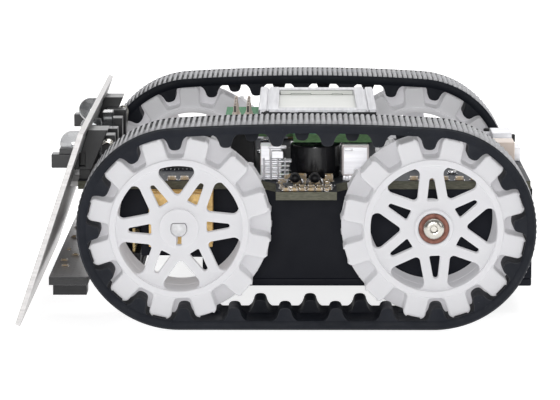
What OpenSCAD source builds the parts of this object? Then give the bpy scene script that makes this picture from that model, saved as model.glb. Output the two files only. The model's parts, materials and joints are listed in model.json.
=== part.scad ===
// Small tracked robot chassis: moulded body with a battery box, two geared
// motors, four toothed sprockets, two rubber tracks, a control board with a
// display, a line sensor board and a steel front blade.
// Frame: +X forward (towards the blade), +Y left, +Z up, origin on the floor
// under the middle of the whole length and width. Millimetres.

/* [Overall] */
// Width over both tracks and of the blade
overall_w = 98; // [96:0.5:102]
// Length from the blade's lower edge to the back of the body
overall_l = 97.5; // [96:0.5:98]

/* [Tracks] */
// Distance between the drive axle and the idler axle
wheelbase = 47.4; // [47.3:0.05:47.5]
// Outside radius of the track where it wraps a sprocket
track_r = 19.2; // [19:0.1:19.4]
// Thickness of the band between the lugs
band_t = 2; // [1.6:0.1:2.2]
// Width of one track
track_w = 16; // [15:0.5:16.5]
// Number of lug places round one track
lug_count = 22; // [22]
// Height of a lug above the band
lug_h = 2.4; // [1.8:0.1:2.6]
// Rise of the top run at its middle
bow = 0.75; // [0.3:0.05:0.9]

/* [Sprockets] */
// Number of teeth in each of the two rows
tooth_count = 12; // [12]
// Radius over the tooth tips
tip_r = 17; // [16.8:0.05:17.05]
// Radius at the floor of the pockets, which is also the rim's outside
floor_r = 13.2; // [13:0.1:13.4]
// Radius inside the rim
rim_r = 11.8; // [11.5:0.1:12]
// Width over both rows of teeth
sprocket_w = 14; // [13:0.5:14.5]
// Number of twin spokes
spoke_count = 6; // [6]
// Radius of the gear motor's D shaft
shaft_r = 1.5; // [1.5]

/* [Body] */
// Width of the body between the tracks
body_w = 62; // [60:0.5:63]
// Thickness of the body's walls
wall = 1.6; // [1.4:0.1:1.8]
// Height of the body's top, where the control board rests
deck_z = 24.2; // [24:0.1:24.5]
// Diameter of a battery cell
cell_d = 14.4; // [14.2:0.1:14.5]
// Length of a battery cell
cell_l = 50; // [49:0.5:50.5]

/* [Boards] */
// Thickness of the circuit boards
board_t = 1.6; // [1.5:0.1:1.7]
// Gap between the control board and the display board
display_gap = 7.1; // [6.8:0.1:7.2]
// Height of the line sensor board's underside
sensor_z = 6.9; // [6.5:0.1:7.2]

/* [Blade] */
// Lean of the blade back from vertical, in degrees
blade_lean = 18.6; // [18:0.1:19]
// Thickness of the blade's sheet
blade_t = 1; // [0.8:0.1:1]
// Height of the blade's top edge
blade_top = 37; // [36:0.5:38]

/* [Hidden] */
$fn = 48;
cut = 0.1;
half_w = overall_w / 2;
front_x = overall_l / 2;
rear_x = -overall_l / 2;

// Track path
axle_z = track_r;
rear_gap = 0.3;
mid_x = rear_x + rear_gap + wheelbase / 2 + track_r;
drive_x = mid_x + wheelbase / 2;
idler_x = mid_x - wheelbase / 2;
half_base = wheelbase / 2;
bow_drop = (half_base * half_base - bow * bow) / (2 * bow);
bow_angle = atan(half_base / bow_drop);
band_in_r = track_r - band_t;
pitch_r = track_r - band_t / 2 - 0.1;
bow_r = bow + bow_drop + pitch_r;
wrap_len = pitch_r * (180 - bow_angle) * PI / 180;
top_len = bow_r * 2 * bow_angle * PI / 180;
path_len = wheelbase + 2 * wrap_len + top_len;
lug_row_w = track_w / 2;
lug_base = 2.3;
lug_top = 1.05;
// Where the first pocket of the outer row stands, in degrees from +X
pocket_phase = -2.5;
// Distance along the path at which that pocket stands
lug_start = wheelbase + pitch_r * (90 + pocket_phase) * PI / 180;
lug_pitch = path_len / lug_count;

// Sprocket faces, measured in from the track's outer face
tooth_inset = 1;
rim_inset = 0.6;
ring_inset = 0.15;
web_inset = 1.4;
web_t = 1.8;
hub_r = 3.7;
hub_inset = 0.8;
face_y = half_w - tooth_inset;
row_w = sprocket_w / 2;
tooth_step = 360 / tooth_count;
pocket_floor_w = 3.2;
pocket_tip_w = 5.1;
pocket_round = 0.9;
tip_round = 0.6;
// Half width over a pair of spokes beside the hub and beside the rim
pair_hub = [6.3, 2.75];
pair_rim = [11.2, 2.05];
window_r = rim_r - 0.1;
window_round = 1.1;
apex_round = 0.7;
slot_in_r = 5.2;
slot_out_r = 9.4;
slot_in_w = 2.1;
slot_out_w = 1;
slit_w = 1;
slit_r = 5.1;
flat_h = 1;
shaft_fit = 0.03;

// Gear motors
gear_w = 12;
gear_h = 10;
gear_l = 9;
gear_face_y = half_w - 10.5;
gear_plate_t = 1;
shaft_end_y = half_w - 0.7;
motor_l = 15;
motor_d = 12;
motor_cap_l = 1.2;
terminal_w = 1.4;

// Idler axle
bush_r = 2.6;
bush_bore_r = 1.55;
bush_flange_r = 2.85;
bush_flange_t = 0.6;
bush_face_y = half_w - 0.9;
idler_fit = 0.05;
bolt_r = 1.5;
bolt_head_r = 2;
bolt_head_h = 0.6;
nut_flats = 5.5;
nut_t = 2.4;

// Body
half_body = body_w / 2;
box_front_x = mid_x + 19.8;
box_rear_x = rear_x;
box_bottom_z = 6.9;
cover_t = 1.5;
cell_count = 4;
cell_z = box_bottom_z + 0.3 + cell_d / 2;
cell_pitch = cell_d + 0.2;
cavity_l = cell_count * cell_pitch + 0.4;
cavity_w = cell_l + 4;
cavity_rear_x = box_rear_x + wall;
cavity_top = cell_z + cell_d / 2 + 0.3;
bay_front_x = mid_x + 31.5;
nose_front_x = mid_x + 41.8;
nose_arm_w = 3.4;
shelf_z = 20.6;
shelf_l = 3.8;
bay_bottom_z = 11.3;
motor_fit = 0.15;
contact_t = 0.4;

// Control board
board_front_x = mid_x + 43.5;
board_rear_x = rear_x + 0.4;
board_half_w = 31.5;
board_z = deck_z;
board_top = board_z + board_t;
tab_half_l = 5.7;
tab_root_l = 6.8;
tab_y = half_w - 3.3;
tab_root_y = half_w - 15.5;

// Fixings through the control board
fix_rear_x = rear_x + 28.4;
fix_front_x = bay_front_x + 2.2;
fix_y = 29.2;
// Free holes for accessories
spare_rear_x = rear_x + 3.6;
spare_front_x = mid_x + 12;
spare_r = 1.1;
spare_depth = 5;
fix_r = 1;
fix_fit = 0.1;
screw_head_r = 1.9;
screw_head_h = 1.3;
screw_l = 6;

// Switch and buttons at the back of the board
switch_x = board_rear_x + 2.6;
switch_y = -18;
switch_travel = 1;
button_x = board_rear_x + 4.6;
button_ys = [14.6, 20, 25.4];
reset_y = -27;
button_case = 3.6;
button_h = 2.2;
button_cap_r = 1;
button_travel = 0.25;
button_cap_h = 1.6;

// White plug beside the button rows
plug_x = rear_x + 4.6;
plug_y = 8.2;
plug_l = 5;
plug_w = 6.4;
plug_h = 4.8;

// Display
display_x = mid_x - 2.3;
display_rear_x = mid_x - 13.65;
display_front_x = mid_x + 9.55;
display_half_w = 20.5;
ear_front_x = mid_x + 2.45;
ear_half_w = 29;
display_z = board_top + display_gap;
bezel_l = 23;
bezel_w = 38.5;
bezel_h = 3.6;
bezel_z = display_z + board_t;
window_l = 15.2;
window_w = 31;
bezel_sheet = 0.5;
display_hole_x = [display_rear_x + 3, ear_front_x - 3];
display_hole_y = 26;
display_hole_r = 1.3;
// Double row of pins on the display's tab
pins_x = mid_x + 12.6;
pins_y = 5;
pins_w = 17.8;
pin_pitch = 2.54;
pin_rows = [-0.5, 0.5];
pin_w = 0.6;
pin_top = 5.2;
tab_front_x = mid_x + 16;
tab_half_w = 14.5;

// Line sensor board
sensor_rear_x = mid_x + 41.3;
sensor_front_x = mid_x + 48.7;
sensor_half_w = 39;
tongue_rear_x = mid_x + 31.6;
tongue_half_w = 27;
sensor_top = sensor_z + board_t;
header_x = mid_x + 34.5;
header_y = 17;
socket_h = 8.5;

// Blade
blade_len = (blade_top - 0.9) / cos(blade_lean);
blade_foot = [front_x, 0.9 + blade_t * sin(blade_lean)];
lamp_z = 32.4;
lamp_y = 27;
lamp_r = 2.5;
eye_z = 32.4;
eye_r = 1.5;
holder_l = 4.4;
holder_w = 7;
holder_z = 27.8;
holder_h = 7.6;
shroud_z = 29.8;
shroud_h = 2.6;
shroud_w = 3.6;
shroud_y = lamp_y + 4.4;
shroud_front_x = mid_x + 48.4;
shroud_rear_gap = 1.6;
step_h = 1.1;
step_w = 3;
step_back = 1.5;
// Upright blocks on the board behind the blade
upright_ys = [20.4, 10.2, -6.5, -20.4];
upright_x = mid_x + 38.95;
upright_l = 4;
upright_w = 4.2;
upright_h = 7.6;
flap_w = 9;
flap_y = 16;
flap_l = 9;
flap_z = deck_z - blade_t - 0.05;

// Point on the blade's front face at a height
function blade_x(z) = blade_foot[0] - (z - blade_foot[1]) * tan(blade_lean);

fold_x = blade_x(flap_z) - 0.6;
screw_x = fold_x - flap_l + 2.6;

// A block whose base is centred on a point
module block(at, size) {
    translate([at[0] - size[0] / 2, at[1] - size[1] / 2, at[2]]) cube(size);
}

// A side outline drawn in X and Z, thickened inwards from one Y
module side_plate(y, w) {
    translate([0, y, 0]) rotate([90, 0, 0]) linear_extrude(height = w) children();
}

// The same thing on the left and on the right
module both_sides() {
    children();
    mirror([0, 1, 0]) children();
}

// A round bar along Y between two places
module bar_y(x, z, r, y_low, y_high) {
    translate([x, y_high, z]) rotate([90, 0, 0]) cylinder(r = r, h = y_high - y_low);
}

// ---------------------------------------------------------------- tracks

// Outline enclosed by the track at a distance r from the axles
module loop_area(r) {
    top_r = bow + bow_drop + r;
    low_z = axle_z - bow_drop;
    reach = top_r + 10;
    for (x = [drive_x, idler_x]) translate([x, axle_z]) circle(r = r, $fn = 96);
    translate([idler_x, axle_z - r]) square([wheelbase, 1.5 * r]);
    intersection() {
        translate([mid_x, low_z]) circle(r = top_r, $fn = 720);
        polygon([[drive_x, axle_z], [mid_x + reach * sin(bow_angle), low_z + reach * cos(bow_angle)],
            [mid_x - reach * sin(bow_angle), low_z + reach * cos(bow_angle)], [idler_x, axle_z]]);
    }
}

// Place on the path: centre x, centre z, radius there and the outward direction
function track_place(s) =
    s < wheelbase ? [idler_x + s, axle_z, 0, -90]
    : s < wheelbase + wrap_len
        ? [drive_x, axle_z, 0, -90 + (s - wheelbase) / pitch_r * 180 / PI]
    : s < wheelbase + wrap_len + top_len
        ? [mid_x, axle_z - bow_drop, bow + bow_drop,
            90 - bow_angle + (s - wheelbase - wrap_len) / bow_r * 180 / PI]
    : [idler_x, axle_z, 0, 90 + bow_angle
            + (s - wheelbase - wrap_len - top_len) / pitch_r * 180 / PI];

// Bell shaped section of a lug, growing towards the axle
module lug_outline() {
    polygon([
        [0.2, -lug_base], [-0.5, -lug_base * 0.68],
        [-lug_h * 0.55, -lug_top - 0.1], [-lug_h * 0.85, -lug_top * 0.85],
        [-lug_h, -lug_top * 0.4], [-lug_h, lug_top * 0.4], [-lug_h * 0.85, lug_top * 0.85],
        [-lug_h * 0.55, lug_top + 0.1], [-0.5, lug_base * 0.68], [0.2, lug_base]
    ]);
}

// One row of lugs, shifted along the path by a part of the pitch
module lug_row(shift) {
    for (i = [0 : lug_count - 1]) {
        s = (lug_start + (i + shift) * lug_pitch) % path_len;
        at = track_place(s);
        translate([at[0], at[1]]) rotate(at[3]) translate([at[2] + band_in_r, 0]) lug_outline();
    }
}

module track() {
    color([0.12, 0.13, 0.16]) union() {
        side_plate(half_w, track_w) difference() {
            loop_area(track_r);
            loop_area(band_in_r);
        }
        side_plate(half_w, lug_row_w) lug_row(0);
        side_plate(half_w - lug_row_w, lug_row_w) lug_row(0.5);
    }
}

// ------------------------------------------------------------- sprockets

// Points along an arc, both ends included
function arc_points(centre, r, from, to, steps) =
    [for (i = [0 : steps]) let (a = from + (to - from) * i / steps) centre + r * [cos(a), sin(a)]];

// One side of a pocket, from beyond the tip to the middle of its floor
pocket_side = concat(
    [[tip_r + 1, pocket_tip_w / 2 + tip_round]],
    arc_points([tip_r - tip_round, pocket_tip_w / 2 + tip_round], tip_round, 0, -90, 4),
    arc_points([floor_r + pocket_round, pocket_floor_w / 2 - pocket_round], pocket_round, 90, 180, 5)
);

module pocket_outline() {
    last = len(pocket_side) - 1;
    polygon(concat(pocket_side, [for (i = [last : -1 : 0]) [pocket_side[i][0], -pocket_side[i][1]]]));
}

// One row of teeth: the outside less its pockets
module tooth_outline(turn) {
    difference() {
        circle(r = tip_r, $fn = 96);
        for (i = [0 : tooth_count - 1]) rotate(turn + i * tooth_step) pocket_outline();
        circle(r = rim_r, $fn = 72);
    }
}

// Point beside a window: along its pair of spokes, and out from the pair's middle
function beside_pair(at) = [at[0] * cos(30) + at[1] * sin(30), -at[0] * sin(30) + at[1] * cos(30)];

// Window between two pairs of spokes, a rounded triangle pointing at the hub
module window_outline() {
    hub_end = beside_pair(pair_hub);
    rim_end = beside_pair(pair_rim);
    lean = atan((hub_end[1] - rim_end[1]) / (rim_end[0] - hub_end[0]));
    apex_x = hub_end[0] + hub_end[1] / tan(lean);
    corner_off = apex_x * sin(lean) + window_round;
    corner_r = window_r - window_round;
    corner = corner_off * [sin(lean), cos(lean)]
        + sqrt(corner_r * corner_r - corner_off * corner_off) * [cos(lean), -sin(lean)];
    corner_turn = atan2(corner[1], corner[0]);
    arc_step = corner_turn / 6;
    polygon(concat(
        arc_points([apex_x + apex_round / sin(lean), 0], apex_round, 90 + lean, 270 - lean, 6),
        arc_points(corner, window_round, 270 - lean, 360 + corner_turn, 6),
        arc_points([0, 0], window_r, corner_turn - arc_step, arc_step - corner_turn, 10),
        arc_points([corner[0], -corner[1]], window_round, -corner_turn, 90 + lean, 6)
    ));
}

// Narrow tapered slot inside a pair of spokes
module slot_outline() {
    end_r = slot_out_w / 2;
    polygon([[slot_in_r, -slot_in_w / 2], [slot_out_r - end_r, -end_r],
        [slot_out_r - end_r, end_r], [slot_in_r, slot_in_w / 2]]);
    translate([slot_out_r - end_r, 0]) circle(r = end_r, $fn = 24);
}

// Body of a sprocket round the Z axis, its outer face upwards at z = 0.
// turn places the pockets and spoke_turn the slots.
module sprocket(turn, spoke_turn) {
    translate([0, 0, -row_w]) linear_extrude(height = row_w) tooth_outline(turn);
    translate([0, 0, -sprocket_w]) linear_extrude(height = row_w)
        tooth_outline(turn + tooth_step / 2);
    translate([0, 0, -1]) linear_extrude(height = 1 + tooth_inset - rim_inset) difference() {
        circle(r = floor_r - ring_inset, $fn = 72);
        circle(r = rim_r, $fn = 72);
    }
    translate([0, 0, tooth_inset - web_inset - web_t]) linear_extrude(height = web_t) difference() {
        circle(r = rim_r + 0.2, $fn = 72);
        circle(r = hub_r - 0.2);
        for (i = [0 : spoke_count - 1]) {
            rotate(spoke_turn + i * 60) slot_outline();
            rotate(spoke_turn + 30 + i * 60) window_outline();
        }
    }
}

module drive_sprocket() {
    hub_top = tooth_inset - hub_inset;
    hub_l = gear_face_y - face_y + hub_top;
    color([0.93, 0.93, 0.95]) translate([drive_x, face_y, axle_z]) rotate([-90, 0, 0]) difference() {
        union() {
            sprocket(-pocket_phase, -pocket_phase);
            translate([0, 0, gear_face_y - face_y + 0.8])
                cylinder(r = hub_r, h = face_y - gear_face_y - 0.8 + hub_top);
        }
        translate([0, 0, -sprocket_w]) linear_extrude(height = sprocket_w + 2) intersection() {
            circle(r = shaft_r + shaft_fit);
            translate([-2, -flat_h - shaft_fit]) square([4, 4]);
        }
        translate([-slit_w / 2, 1.2, -sprocket_w]) cube([slit_w, slit_r - 1.2, sprocket_w + 2]);
    }
}

module idler_sprocket() {
    hub_top = tooth_inset - hub_inset;
    flange_z = bush_face_y - bush_flange_t - face_y;
    color([0.93, 0.93, 0.95]) translate([idler_x, face_y, axle_z]) rotate([-90, 0, 0]) difference() {
        union() {
            sprocket(-pocket_phase, 30 - pocket_phase);
            translate([0, 0, -sprocket_w]) cylinder(r = hub_r, h = sprocket_w + hub_top);
        }
        translate([0, 0, -sprocket_w - 1]) cylinder(r = bush_r + idler_fit, h = sprocket_w + 3);
        translate([0, 0, flange_z - idler_fit]) cylinder(r = bush_flange_r + idler_fit, h = 3);
    }
}

module drive_shaft() {
    color([0.72, 0.72, 0.74]) difference() {
        bar_y(drive_x, axle_z, shaft_r, gear_face_y - gear_l + gear_plate_t, shaft_end_y);
        translate([drive_x - 3, gear_face_y + 0.5, axle_z + flat_h]) cube([6, 20, 3]);
    }
}

module idler_bushing() {
    color([0.45, 0.27, 0.2]) difference() {
        union() {
            bar_y(idler_x, axle_z, bush_r, half_body, bush_face_y);
            bar_y(idler_x, axle_z, bush_flange_r, bush_face_y - bush_flange_t, bush_face_y);
        }
        bar_y(idler_x, axle_z, bush_bore_r, half_body - 1, bush_face_y + 1);
    }
}

module idler_bolt() {
    color([0.8, 0.78, 0.72]) union() {
        bar_y(idler_x, axle_z, bolt_r, half_body - 4.4, bush_face_y + cut);
        bar_y(idler_x, axle_z, bolt_head_r, bush_face_y, bush_face_y + bolt_head_h);
    }
}

module idler_nut() {
    color([0.7, 0.7, 0.7]) difference() {
        translate([idler_x, half_body - 1.2, axle_z]) rotate([90, 0, 0])
            cylinder(r = nut_flats / 2 / cos(30), h = nut_t, $fn = 6);
        bar_y(idler_x, axle_z, bolt_r + cut / 5, half_body - 6, half_body);
    }
}

// ------------------------------------------------------------ gear motor

module gearbox() {
    inner_y = gear_face_y - gear_l;
    color([0.85, 0.66, 0.32]) union() {
        for (y = [gear_face_y - gear_plate_t, inner_y + 4, inner_y]) difference() {
            block([drive_x, y + gear_plate_t / 2, axle_z - gear_h / 2], [gear_w, gear_plate_t, gear_h]);
            bar_y(drive_x, axle_z, shaft_r + shaft_fit, y - 1, y + gear_plate_t + 1);
        }
        for (x = [-1, 1]) for (z = [-1, 1])
            bar_y(drive_x + x * 4.7, axle_z + z * 3.7, 0.8, inner_y, gear_face_y);
    }
}

module motor_can() {
    can_y = gear_face_y - gear_l;
    color([0.7, 0.7, 0.72]) intersection() {
        bar_y(drive_x, axle_z, motor_d / 2, can_y - motor_l, can_y);
        block([drive_x, can_y - motor_l / 2, axle_z - gear_h / 2], [20, 30, gear_h]);
    }
}

module motor_cap() {
    cap_y = gear_face_y - gear_l - motor_l;
    color([0.15, 0.15, 0.16]) intersection() {
        bar_y(drive_x, axle_z, motor_d / 2 - 0.3, cap_y - motor_cap_l, cap_y);
        block([drive_x, cap_y, axle_z - gear_h / 2 + 0.2], [20, 30, gear_h - 0.4]);
    }
    color([0.8, 0.75, 0.6]) for (side = [-1, 1])
        block([drive_x + side * 3.4, cap_y - motor_cap_l - 1, axle_z - terminal_w / 2], [0.4, 2, terminal_w]);
}

// Toothed wheel on the output shaft, between the gearbox plates
module output_gear() {
    teeth = 28;
    gear_y = gear_face_y - gear_plate_t - 0.3;
    color([0.86, 0.7, 0.36]) side_plate(gear_y, 2) translate([drive_x, axle_z]) difference() {
        union() {
            circle(r = 4);
            for (i = [0 : teeth - 1]) rotate(i * 360 / teeth)
                polygon([[3.8, -0.28], [4.4, -0.13], [4.4, 0.13], [3.8, 0.28]]);
        }
        circle(r = shaft_r);
    }
}

// ------------------------------------------------------------------ body

module chassis_body() {
    shell_l = box_front_x - box_rear_x;
    bay_l = bay_front_x - box_front_x;
    arm_l = nose_front_x - bay_front_x + cut;
    color([0.07, 0.075, 0.1]) difference() {
        union() {
            block([box_rear_x + shell_l / 2, 0, box_bottom_z], [shell_l, body_w, deck_z - box_bottom_z]);
            block([box_front_x + bay_l / 2, 0, bay_bottom_z], [bay_l, body_w, deck_z - bay_bottom_z]);
            // two arms and a shelf that carry the blade's flaps
            for (side = [-1, 1])
                block([bay_front_x + arm_l / 2 - cut, side * (half_body - nose_arm_w / 2), shelf_z - 2],
                    [arm_l, nose_arm_w, deck_z - shelf_z + 2]);
            block([nose_front_x - shelf_l / 2, 0, shelf_z], [shelf_l, body_w - 2, flap_z - shelf_z]);
        }
        // battery space, open below
        block([cavity_rear_x + cavity_l / 2, 0, box_bottom_z - 1],
            [cavity_l, cavity_w, cavity_top - box_bottom_z + 1]);
        // motor slots, open above
        block([drive_x, 0, axle_z - gear_h / 2 - motor_fit],
            [gear_w + 2 * motor_fit, body_w + 2, deck_z]);
        // idler bolt holes, with nut pockets open to the battery space
        both_sides() {
            bar_y(idler_x, axle_z, bolt_r + 0.05, half_body - 8, half_body + 1);
            translate([idler_x, half_body - 1.1, axle_z]) rotate([90, 0, 0])
                cylinder(r = nut_flats / 2 / cos(30) + 0.05, h = 4, $fn = 6);
        }
        for (side = [-1, 1]) {
            for (x = [fix_rear_x, fix_front_x]) translate([x, side * fix_y, deck_z - screw_l])
                cylinder(r = fix_r, h = screw_l + 1);
            for (x = [spare_rear_x, spare_front_x]) translate([x, side * fix_y, deck_z - spare_depth])
                cylinder(r = spare_r, h = spare_depth + 1);
            translate([screw_x, side * flap_y, shelf_z - 1]) cylinder(r = fix_r + fix_fit, h = 8);
        }
    }
}

module battery_cover() {
    cover_l = box_front_x - box_rear_x;
    color([0.07, 0.075, 0.1]) union() {
        block([box_rear_x + cover_l / 2, 0, box_bottom_z - cover_t], [cover_l, body_w, cover_t]);
        for (side = [-1, 1])
            block([cavity_rear_x + cavity_l / 2, side * (cavity_w / 2 - 1.2), box_bottom_z - cut],
                [cavity_l - 4, 1, 1.2]);
    }
}

module battery_cells() {
    for (i = [0 : cell_count - 1]) {
        x = cavity_rear_x + 0.3 + cell_pitch * (i + 0.5);
        turn = i % 2 == 0 ? 1 : -1;
        color([0.25, 0.45, 0.3]) union() {
            bar_y(x, cell_z, cell_d / 2, -cell_l / 2 + 0.5, cell_l / 2 - 0.5);
            translate([x, turn * (cell_l / 2 - 0.6), cell_z]) rotate([-90 * turn, 0, 0])
                cylinder(r = 2.7, h = 1.1);
        }
    }
}

module battery_contacts() {
    color([0.78, 0.78, 0.75]) for (i = [0 : cell_count - 1]) for (side = [-1, 1]) {
        x = cavity_rear_x + 0.3 + cell_pitch * (i + 0.5);
        block([x, side * (cavity_w / 2 - contact_t / 2 - 0.05), cell_z - 3.3], [6.6, contact_t, 6.6]);
        bar_y(x, cell_z, 2.2, side > 0 ? cell_l / 2 + 0.55 : -cavity_w / 2 + 0.3,
            side > 0 ? cavity_w / 2 - 0.3 : -cell_l / 2 - 0.55);
    }
}

// ---------------------------------------------------------- control board

// Left edge of the board from the back to the front, with the tab between the sprockets
board_edge = [
    [board_rear_x, board_half_w], [mid_x - 8.3, board_half_w], [mid_x - tab_root_l, tab_root_y],
    [mid_x - tab_half_l, tab_root_y + 2], [mid_x - tab_half_l, tab_y], [mid_x + tab_half_l, tab_y],
    [mid_x + tab_half_l, tab_root_y + 2], [mid_x + tab_root_l, tab_root_y], [mid_x + 8.3, board_half_w],
    [board_front_x, board_half_w]
];

module board_outline() {
    last = len(board_edge) - 1;
    polygon(concat(board_edge, [for (i = [last : -1 : 0]) [board_edge[i][0], -board_edge[i][1]]]));
}

module main_board() {
    color([0.1, 0.12, 0.15]) translate([0, 0, board_z]) linear_extrude(height = board_t) difference() {
        board_outline();
        for (side = [-1, 1]) {
            for (x = [fix_rear_x, fix_front_x]) translate([x, side * fix_y]) circle(r = fix_r + fix_fit);
            for (x = [spare_rear_x, spare_front_x]) translate([x, side * fix_y]) circle(r = spare_r);
            translate([screw_x, side * flap_y]) circle(r = fix_r + fix_fit);
        }
    }
}

// Flat packaged chips
module board_chips() {
    color([0.1, 0.1, 0.11]) {
        block([mid_x + 24, 12, board_top], [9, 9, 1]);
        block([mid_x + 24, -12, board_top], [7, 7, 1]);
        block([mid_x + 23, 0, board_top], [5, 6.4, 1.2]);
        block([mid_x - 25, -14, board_top], [4, 5, 1.4]);
        block([mid_x - 24, 8, board_top], [7, 7, 2.8]);
        both_sides() {
            block([mid_x + 3.4, half_w - 7.6, board_top], [2, 2, 1]);
            block([mid_x + 18, 27, board_top], [5, 4.4, 1.5]);
            block([mid_x - 11.4, 24.4, board_top], [4, 3.8, 1.8]);
        }
    }
}

// Small soldered parts in rows on the tabs and beside the chips
module board_parts() {
    part = [1.6, 0.9, 0.7];
    color([0.8, 0.68, 0.45]) both_sides() {
        for (i = [0 : 4])
            block([mid_x - 4.4 + i * 2.2, half_w - 4.3, board_top], [part[1], part[0], part[2]]);
        for (i = [0 : 3]) block([mid_x - 3.6 + i * 2.3, half_w - 13, board_top], part);
        for (i = [0 : 3]) block([mid_x + 16 + i * 2.6, 30.4, board_top], part);
        for (i = [0 : 4]) block([mid_x - 21.6 - i * 2.9, 30.4, board_top], part);
    }
}

// Small domed emitters that look out sideways from the tabs
module side_emitters() {
    color([0.06, 0.06, 0.08]) both_sides() for (side = [-1, 1])
        translate([mid_x + side * 1.9 + 1, half_w - 9.6, board_top + 0.9]) {
            translate([0, 0, -0.9]) block([0, -1.2, 0], [2, 1.6, 1.8]);
            rotate([90, 0, 0]) cylinder(r = 0.8, h = 1.4, center = true);
        }
}

// Shielded receivers standing at the roots of the tabs
module side_receivers() {
    color([0.85, 0.85, 0.86]) both_sides() {
        difference() {
            block([mid_x + 5.6, 29.6, board_top], [5.1, 4, 6.9]);
            block([mid_x + 5.4, 31.6, board_top + 4.2], [2.6, 1.4, 2]);
        }
        block([mid_x - 9.4, 29.4, board_top], [5.2, 4.2, 6.8]);
    }
}

module buzzer() {
    color([0.06, 0.06, 0.07]) difference() {
        translate([mid_x - 1.9, 24.2, board_top]) cylinder(r = 4.9, h = 6.4);
        translate([mid_x - 1.9, 24.2, board_top + 5.4]) cylinder(r = 1, h = 2);
    }
}

module usb_port() {
    color([0.78, 0.78, 0.8]) difference() {
        block([board_rear_x + 2.7, 0, board_top], [5.4, 7.6, 2.7]);
        block([board_rear_x + 1.6, 0, board_top + 0.4], [3.6, 6.6, 1.9]);
    }
}

module board_plug() {
    color([0.85, 0.84, 0.78]) difference() {
        block([plug_x, plug_y, board_top], [plug_l, plug_w, plug_h]);
        block([plug_x - 1, plug_y, board_top + 0.8], [plug_l, plug_w - 1.4, plug_h - 1.6]);
    }
    color([0.8, 0.78, 0.7]) for (i = [-1 : 1])
        block([plug_x - 0.3, plug_y + i * 1.5, board_top + plug_h / 2 - 0.25], [plug_l - 1.4, 0.5, 0.5]);
}

module power_switch_housing() {
    color([0.72, 0.72, 0.74]) difference() {
        block([switch_x, switch_y, board_top], [4, 9, 3.4]);
        block([switch_x - 1, switch_y, board_top + 0.9], [3.2, 4.4, 1.7]);
    }
}

module power_switch_slider() {
    color([0.08, 0.08, 0.09])
        block([switch_x - 1.25, switch_y - switch_travel, board_top + 1], [3.5, 1.9, 1.5]);
}

module button_housings() {
    color([0.75, 0.75, 0.76]) for (y = concat(button_ys, [reset_y])) difference() {
        block([button_x, y, board_top], [button_case, button_case, button_h]);
        translate([button_x, y, board_top + 0.8]) cylinder(r = button_cap_r + 0.08, h = 3);
    }
}

module button_cap(y) {
    color([0.07, 0.07, 0.08])
        translate([button_x, y, board_top + 0.8 + button_travel + 0.05])
            cylinder(r = button_cap_r, h = button_cap_h);
}

module board_screws() {
    color([0.75, 0.75, 0.76]) for (x = [fix_rear_x, fix_front_x]) for (side = [-1, 1]) {
        translate([x, side * fix_y, board_top]) cylinder(r = screw_head_r, h = screw_head_h);
        translate([x, side * fix_y, board_top - screw_l]) cylinder(r = fix_r - 0.02, h = screw_l + cut);
    }
}

// --------------------------------------------------------------- display

module display_header() {
    color([0.07, 0.07, 0.08]) block([pins_x, pins_y, board_top], [2 * pin_pitch, pins_w, display_gap]);
    color([0.8, 0.65, 0.3]) for (row = pin_rows) for (i = [-3 : 3])
        block([pins_x + row * pin_pitch, pins_y + i * pin_pitch, display_z - cut],
            [pin_w, pin_w, pin_top + cut]);
}

module display_board() {
    color([0.1, 0.35, 0.22]) difference() {
        translate([0, 0, display_z]) linear_extrude(height = board_t) polygon([
            [display_rear_x, -ear_half_w], [ear_front_x, -ear_half_w],
            [ear_front_x, -display_half_w], [display_front_x, -display_half_w],
            [display_front_x, -tab_half_w], [tab_front_x, -tab_half_w],
            [tab_front_x, tab_half_w], [display_front_x, tab_half_w],
            [display_front_x, display_half_w], [ear_front_x, display_half_w],
            [ear_front_x, ear_half_w], [display_rear_x, ear_half_w]
        ]);
        for (x = display_hole_x) for (side = [-1, 1])
            translate([x, side * display_hole_y, display_z - 1])
                cylinder(r = display_hole_r, h = board_t + 2);
        for (row = pin_rows) for (i = [-3 : 3])
            block([pins_x + row * pin_pitch, pins_y + i * pin_pitch, display_z - 1],
                [pin_w + cut, pin_w + cut, board_t + 2]);
    }
}

module display_frame() {
    color([0.8, 0.8, 0.83]) difference() {
        block([display_x, 0, bezel_z], [bezel_l, bezel_w, bezel_h]);
        block([display_x, 0, bezel_z - 1],
            [bezel_l - 2 * bezel_sheet, bezel_w - 2 * bezel_sheet, bezel_h + 1 - bezel_sheet]);
        block([display_x, 0, bezel_z], [window_l, window_w, bezel_h + 1]);
    }
}

module display_glass() {
    color([0.82, 0.86, 0.82])
        block([display_x, 0, bezel_z], [bezel_l - 2 * bezel_sheet - 0.1, bezel_w - 2 * bezel_sheet - 0.1,
            bezel_h - bezel_sheet - 0.05]);
}

// ----------------------------------------------------------- line sensors

module front_sensor_board() {
    color([0.3, 0.3, 0.32]) translate([0, 0, sensor_z]) linear_extrude(height = board_t) {
        translate([sensor_rear_x, -sensor_half_w])
            square([sensor_front_x - sensor_rear_x, 2 * sensor_half_w]);
        translate([tongue_rear_x, -tongue_half_w])
            square([sensor_rear_x - tongue_rear_x + cut, 2 * tongue_half_w]);
    }
}

module line_sensors() {
    color([0.08, 0.08, 0.09]) for (y = [-34, -17, 0, 17, 34])
        difference() {
            block([sensor_rear_x + 3.6, y, sensor_z - 2.3], [6.4, 5, 2.3]);
            for (x = [-1, 1])
                translate([sensor_rear_x + 3.6 + x * 1.6, y, sensor_z - 3]) cylinder(r = 1, h = 1.5);
        }
}

module header_strips() {
    color([0.07, 0.07, 0.08]) for (side = [-1, 1]) {
        block([header_x, side * header_y, sensor_top], [5, 17.8, 2.5]);
        block([header_x, side * header_y, board_z - socket_h], [5, 17.8, socket_h]);
    }
}

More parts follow.
